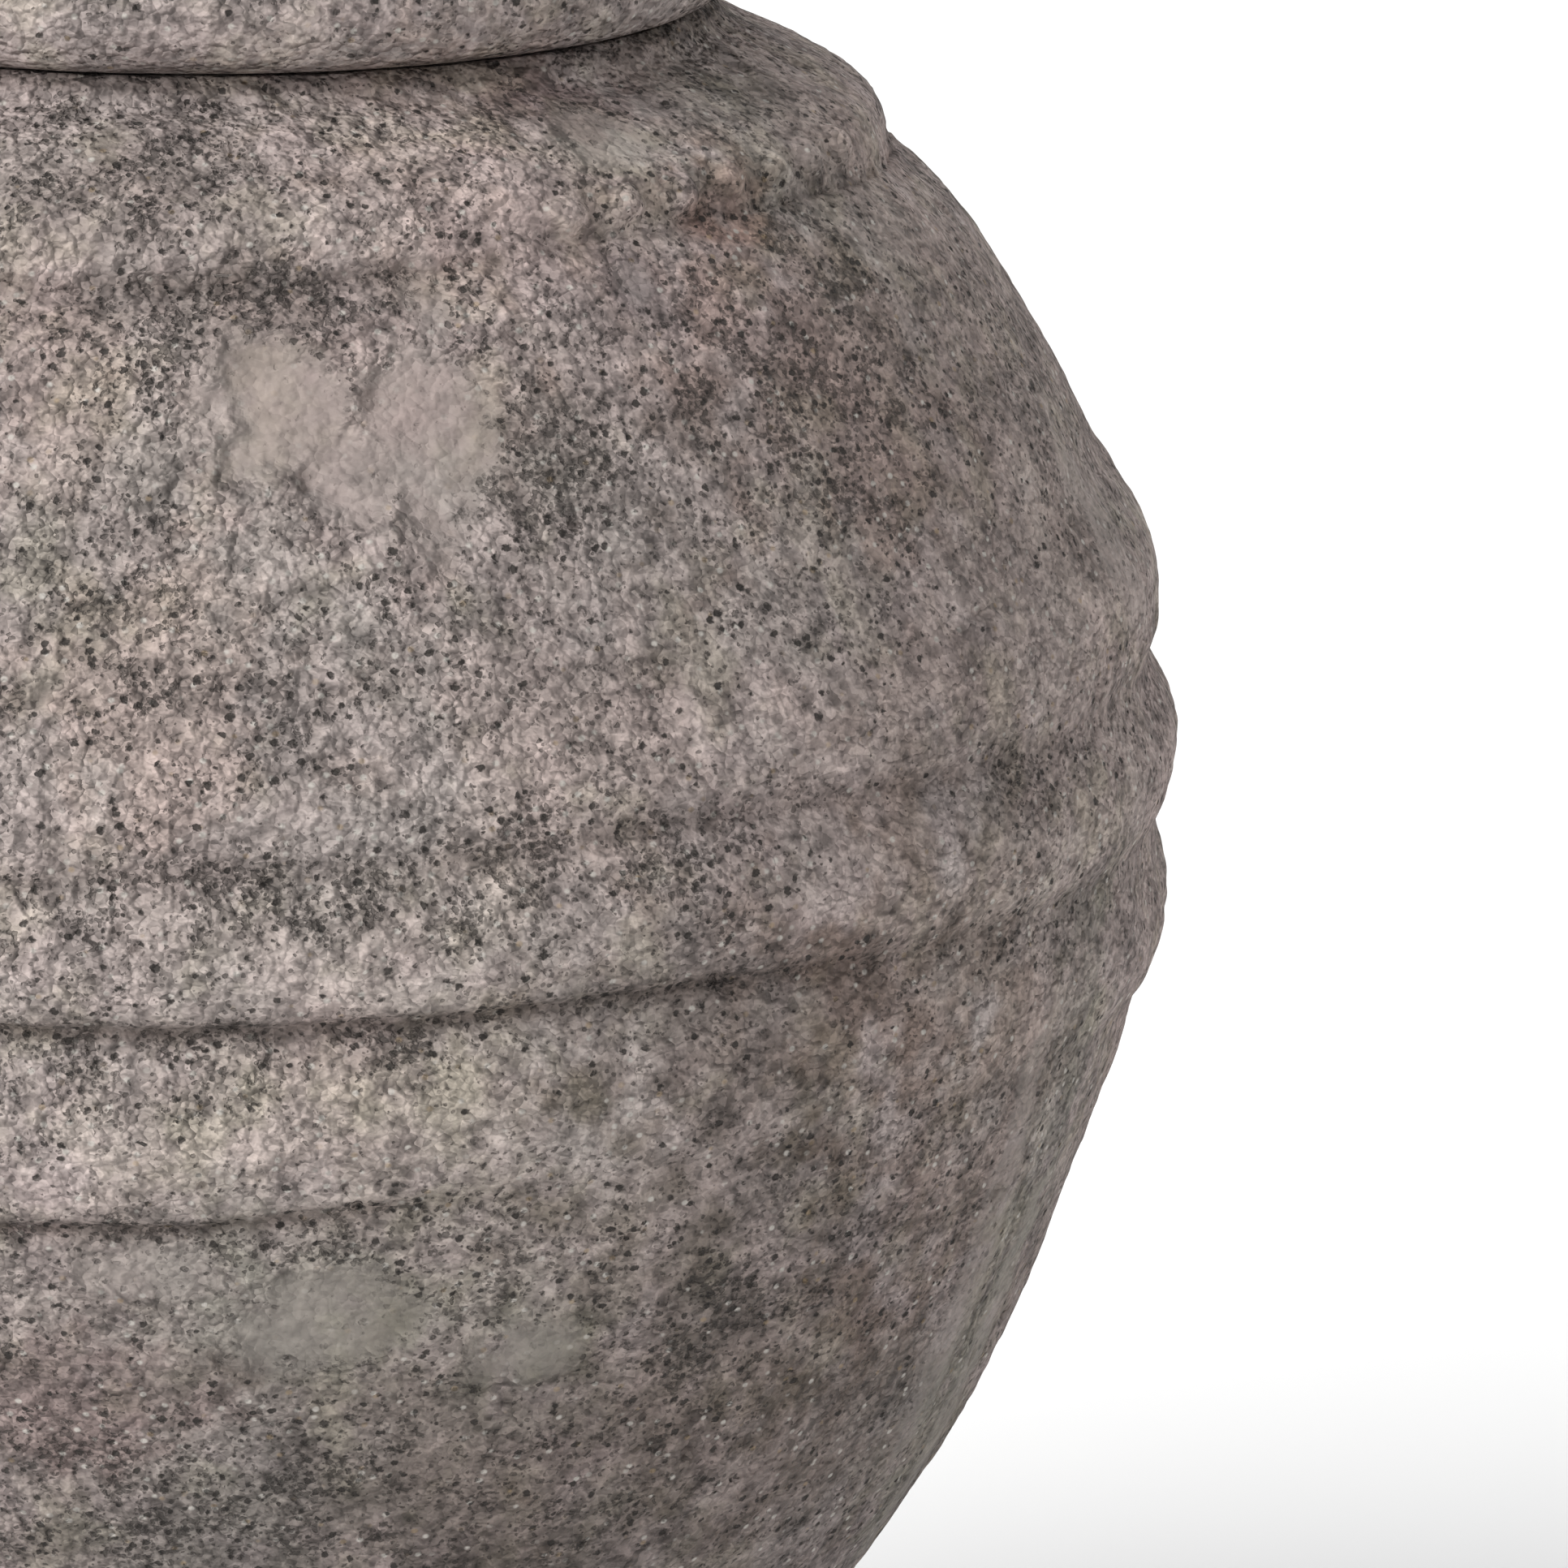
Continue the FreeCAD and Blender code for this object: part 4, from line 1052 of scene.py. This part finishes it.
def grain_lightness(g, grain):
    """A grey that makes each grain of sand lighter or darker, less so on a patch."""
    lightness = g.plus(g.step(g.noise(0.058, 2.0, 0.95), 0.30, 0.70, -0.26, 0.26),
                       g.step(grain.crumbs, 0.3, 0.7, -0.21, 0.21))
    lightness = g.plus(lightness, g.step(g.cell_values(0.60)[0], 0.0, 1.0, -0.23, 0.25))
    lightness = g.line(lightness, g.line(grain.plain, 0.75, 0.25), 1.0)
    return g.run("ShaderNodeCombineColor", 0, {0: lightness, 1: lightness, 2: lightness})


def odd_grains(g, grain, base):
    """A few pale grains, and fewer rusty ones."""
    kind = g.cell_values(0.36)[1]
    near = g.step(g.cells(0.36), 0.34, 0.16)
    pale, rusty = g.times(near, g.step(kind, 0.72, 0.90)), g.times(near, g.step(kind, 0.07, 0.03))
    base = g.mix(g.times(pale, g.times(grain.plain, 0.8)), base, PALE_GRAIN)
    return g.mix(g.times(rusty, g.times(grain.plain, 0.5)), base, RUSTY_GRAIN)


def hole_darkness(g, grain):
    """How dark the holes and the gaps between grains are painted: painted shade, for the light they swallow.
    """
    bare = g.step(g.plus(grain.pitted, g.times(grain.crumbs, -0.6)), 0.0, 0.5)
    gaps = g.times(g.step(grain.beads, 0.60, 0.85), bare)
    holes = g.math("MAXIMUM", g.times(grain.medium, 0.92), g.times(grain.small, 0.56))
    shallow = g.math("MAXIMUM", g.times(grain.hollows, 0.60), g.times(gaps, 0.5))
    return g.times(g.math("MAXIMUM", holes, shallow), g.line(grain.plain, 0.95, 0.05))


def stone_colour(g, grain, upright):
    """The stone's colour, from its slow changes of tone down to its grains and holes, with soiled joints and
    painted shade in the holes and creases.
    """
    base = g.ramp(g.noise(0.021, 4, 0.6, place=upright), STONE_TONES)
    base = g.mix(g.step(g.noise(0.075, 4, 0.65, place=upright), 0.40, 0.68, 0.0, 0.7), base, PINKISH)
    base = g.mix(g.step(g.noise(0.050, 3, 0.6, place=upright), 0.50, 0.70, 0.0, 0.7), base, GREENISH)
    base = g.mix(1.0, base, g.attribute("tone", "Color"), "MULTIPLY")
    base = g.mix(1.0, base, grain_lightness(g, grain), "MULTIPLY")
    base = g.mix(g.times(grain.patch, 0.22), base, SLURRY)
    rim = g.times(g.step(grain.patch, 0.05, 0.35), g.step(grain.patch, 0.80, 0.45))
    base = g.mix(g.times(rim, 0.18), base, SLURRY_RIM)
    base = odd_grains(g, grain, base)
    base = g.mix(hole_darkness(g, grain), base, HOLE_SHADE)
    # the painted shade and the soiling from the mask, broken up by a cloud, darken the colour
    cloud = g.step(g.noise(0.16, 3, 0.6, place=upright), 0.2, 0.6, 0.6, 1.0)
    clouded_soiling_and_shade = g.math("MULTIPLY", g.attribute("soiling_and_shade"), cloud, clamp=True)
    return g.mix(g.times(clouded_soiling_and_shade, 0.80), base, g.mix(1.0, base, SHADE_AND_SOILING_TONE, "MULTIPLY"))


def stone_relief(g, grain):
    """The height of the grain, in mm: crumbs and beads of sand with holes between, and slow lumps."""
    height = g.plus(g.times(grain.crumbs, 3.5), g.times(grain.grit, 0.5))
    domes = g.plus(g.times(g.times(grain.beads, grain.beads), 1.2), g.times(g.cells(1.15), 0.04))
    height = g.minus(height, g.times(domes, g.line(grain.zone, 0.7, 0.4)))
    height = g.minus(height, g.plus(g.times(grain.medium, 0.8), g.times(grain.small, 0.35)))
    height = g.minus(height, g.times(grain.hollows, 0.5))
    height = g.times(height, grain.plain)
    return g.plus(height, g.times(g.noise(0.12, 2.2, 0.6), g.line(grain.plain, 3.6, 1.2)))


def stone_material():
    g = Graph("carved_stone")
    upright = g.place
    # the grain lies a little flatter than it is wide
    g.place = g.run("ShaderNodeVectorMath", 0, {0: upright, 1: (1.0, 1.0, 1.18)}, operation="MULTIPLY")
    grain = stone_grain(g)
    sand = g.step(g.noise(0.62, 1.0, 0.5), 0.3, 0.7, 0.97, 0.84)
    return g.surface({
        "Base Color": stone_colour(g, grain, upright), "Roughness": g.minus(sand, g.times(grain.patch, 0.12)),
        "Specular IOR Level": 0.28, "Normal": g.bump(stone_relief(g, grain), 1.0, 1.0)})


def mortar_material():
    g = Graph("mortar")
    sand, lumps = g.noise(1.0, 3, 0.65), g.noise(0.3, 3, 0.6)
    greys = [(0.3, (0.13, 0.114, 0.105)), (0.5, (0.20, 0.176, 0.163)), (0.7, (0.27, 0.242, 0.225))]
    base = g.ramp(lumps, greys)
    base = g.mix(g.step(sand, 0.45, 0.36, 0.0, 0.7), base, (0.07, 0.062, 0.055, 1))
    return g.surface({
        "Base Color": base, "Roughness": g.step(sand, 0.3, 0.7, 0.98, 0.85), "Specular IOR Level": 0.2,
        "Normal": g.bump(g.plus(sand, lumps), 0.5, 0.9)})


def iron_material():
    g = Graph("iron")
    skin, cloud = g.noise(0.9, 4, 0.65), g.noise(0.09, 4, 0.6, 0.6)
    rust = g.step(g.plus(g.times(cloud, 0.75), g.times(skin, 0.25)), 0.50, 0.62)
    black = [(0.3, (0.022, 0.021, 0.020)), (0.6, (0.050, 0.047, 0.044)), (0.8, (0.075, 0.068, 0.060))]
    brown = [(0.35, (0.060, 0.026, 0.012)), (0.5, (0.130, 0.052, 0.020)), (0.65, (0.20, 0.085, 0.032))]
    base = g.mix(g.times(rust, 0.75), g.ramp(g.noise(0.25, 3, 0.6), black), g.ramp(skin, brown))
    return g.surface({
        "Base Color": base, "Metallic": g.step(rust, 0.0, 1.0, 0.75, 0.05),
        "Roughness": g.plus(g.step(rust, 0.0, 1.0, 0.48, 0.86), g.times(skin, 0.12)),
        "Normal": g.bump(g.plus(skin, g.times(rust, 0.5)), 0.22, 0.7)})


def bronze_material():
    g = Graph("bronze")
    marks = g.noise(0.5, 3, 0.6)
    wave = {"Vector": g.place, "Scale": 1.1, "Distortion": 0.6, "Detail": 2.0}
    lines = g.run("ShaderNodeTexWave", "Fac", wave, bands_direction="Z")
    base = g.ramp(marks, [(0.3, (0.16, 0.095, 0.04)), (0.5, (0.36, 0.23, 0.10)), (0.7, (0.46, 0.31, 0.15))])
    base = g.mix(g.step(g.noise(0.12, 3), 0.5, 0.7, 0, 0.6), base, (0.10, 0.17, 0.12, 1))
    return g.surface({
        "Base Color": base, "Metallic": 0.9, "Roughness": g.step(marks, 0.3, 0.7, 0.35, 0.6),
        "Normal": g.bump(lines, 0.08, 0.5)})


def wax_material():
    g = Graph("wax")
    haze = g.noise(0.16, 3, 0.6)
    base = g.ramp(haze, [(0.3, (0.70, 0.62, 0.46)), (0.55, (0.79, 0.73, 0.58)), (0.8, (0.84, 0.80, 0.68))])
    base = g.mix(g.step(g.noise(1.1, 2), 0.66, 0.74, 0.0, 0.5), base, (0.33, 0.27, 0.20, 1))
    return g.surface({
        "Base Color": base, "Roughness": g.step(haze, 0.3, 0.7, 0.34, 0.5), "Subsurface Weight": 0.35,
        "Subsurface Scale": 0.004, "Normal": g.bump(g.noise(0.35, 3), 0.18, 0.6)})


def cotton_material():
    g = Graph("cotton")
    fibre = g.noise(3.2, 3, 0.7)
    charred = [(0.35, (0.014, 0.012, 0.011)), (0.6, (0.055, 0.046, 0.040)), (0.8, (0.20, 0.17, 0.14))]
    base = g.ramp(fibre, charred)
    return g.surface({"Base Color": base, "Roughness": 0.95, "Normal": g.bump(fibre, 0.12, 1.0)})


def glass_material():
    g = Graph("clear_glass")
    dust, film = g.noise(0.8, 4, 0.7), g.noise(0.045, 3, 0.6)
    # dust and a film on the glass
    soiling_and_shade = g.plus(g.times(dust, 0.5), g.times(film, 0.5))
    return g.surface({
        "Base Color": (0.955, 0.985, 0.97, 1), "Transmission Weight": g.step(soiling_and_shade, 0.45, 0.75, 1.0, 0.86),
        "Roughness": g.step(film, 0.35, 0.7, 0.02, 0.14), "IOR": 1.47, "Normal": g.bump(film, 0.4, 0.25)})


MATERIALS = {
    "carved_stone": stone_material(),
    "mortar": mortar_material(),
    "bronze": bronze_material(),
    "iron": iron_material(),
    "wax": wax_material(),
    "cotton": cotton_material(),
    "clear_glass": glass_material(),
}

# ---------------------------------------------------------------- the pieces

make_belly()
make_shoulder()
make_cap()
make_foot()
make_finial_ring()
make_finial()
make_candle()
make_wick()
make_dowel()
make_beds()

for record_part in frame["record"]["subparts"]:
    node = frame["nodes"][record_part["node"]]
    if node.hide_render:
        continue
    node.data.materials.clear()
    node.data.materials.append(MATERIALS[record_part["material_slot"]])

# ---------------------------------------------------------------- floor, light and camera

# The photo's view: round from the front, above the floor, metres from the axis, and the lens in mm
AZIMUTH, ELEVATION = math.radians(45), math.radians(13.65)
DISTANCE, LENS = 2.3125, 249.6
ORBIT_HEIGHT, AIM_HEIGHT, AIM_SIDE = 0.2692, 0.2655, 0.1175  # metres
TO_CAMERA = Vector((
    math.sin(AZIMUTH) * math.cos(ELEVATION), -math.cos(AZIMUTH) * math.cos(ELEVATION), math.sin(ELEVATION)))
TO_RIGHT = Vector((math.cos(AZIMUTH), math.sin(AZIMUTH), 0))
FLOOR_REACH = 12.0  # metres from the axis
scene = bpy.context.scene


def make_floor():
    size = FLOOR_REACH
    mesh = bpy.data.meshes.new("floor")
    corners = [(-size, -size, 0), (size, -size, 0), (size, size, 0), (-size, size, 0)]
    mesh.from_pydata(corners, [], [(0, 1, 2, 3)])
    floor = bpy.data.objects.new("floor", mesh)
    scene.collection.objects.link(floor)
    material = bpy.data.materials.new("floor")
    material.use_nodes = True
    shader = material.node_tree.nodes["Principled BSDF"]
    shader.inputs["Base Color"].default_value = (0.95, 0.95, 0.95, 1)
    shader.inputs["Roughness"].default_value = 0.9
    shader.inputs["Specular IOR Level"].default_value = 0.1
    mesh.materials.append(material)


def make_world():
    """White walls, brighter low down, so that they meet the floor without a line, and darker above."""
    world = bpy.data.worlds.new("studio")
    scene.world = world
    world.use_nodes = True
    nodes, links = world.node_tree.nodes, world.node_tree.links
    background = nodes["Background"]
    background.inputs["Color"].default_value = (1.0, 1.0, 1.0, 1)
    direction = nodes.new("ShaderNodeTexCoord")
    split = nodes.new("ShaderNodeSeparateXYZ")
    fade = nodes.new("ShaderNodeMapRange")
    for name, value in (("From Min", 0.04), ("From Max", 0.16), ("To Min", 1.15), ("To Max", 0.47)):
        fade.inputs[name].default_value = value
    links.new(direction.outputs["Generated"], split.inputs[0])
    links.new(split.outputs["Z"], fade.inputs["Value"])
    links.new(fade.outputs[0], background.inputs["Strength"])


def make_sun(name, side, height, energy, colour):
    """A wide soft light. Side: degrees round to the camera's left. Height: degrees above the floor."""
    side, height = math.radians(side), math.radians(height)
    back = Vector((TO_CAMERA.x, TO_CAMERA.y, 0)).normalized()
    level_part = math.cos(side) * back - math.sin(side) * TO_RIGHT
    toward = math.cos(height) * level_part + Vector((0, 0, math.sin(height)))
    data = bpy.data.lights.new(name, "SUN")
    data.energy, data.angle, data.color = energy, math.radians(50), colour
    light = bpy.data.objects.new(name, data)
    scene.collection.objects.link(light)
    light.location = 4 * toward
    light.rotation_mode = "QUATERNION"
    light.rotation_quaternion = toward.to_track_quat("Z", "Y")


def make_camera():
    data = bpy.data.cameras.new("camera")
    data.sensor_width, data.lens = 36, LENS
    data.clip_start, data.clip_end = 0.05, 60
    camera = bpy.data.objects.new("camera", data)
    scene.collection.objects.link(camera)
    camera.location = Vector((0, 0, ORBIT_HEIGHT)) + DISTANCE * TO_CAMERA
    camera.rotation_mode = "QUATERNION"
    aim = Vector((0, 0, AIM_HEIGHT)) + AIM_SIDE * TO_RIGHT
    camera.rotation_quaternion = (aim - camera.location).to_track_quat("-Z", "Y")
    scene.camera = camera


make_floor()
make_world()
make_sun("key", 62, 32, 2.75, (1.0, 0.99, 0.98))
make_sun("top", 170, 56, 0.95, (0.98, 0.99, 1.0))
make_camera()
scene.view_settings.view_transform = "Standard"
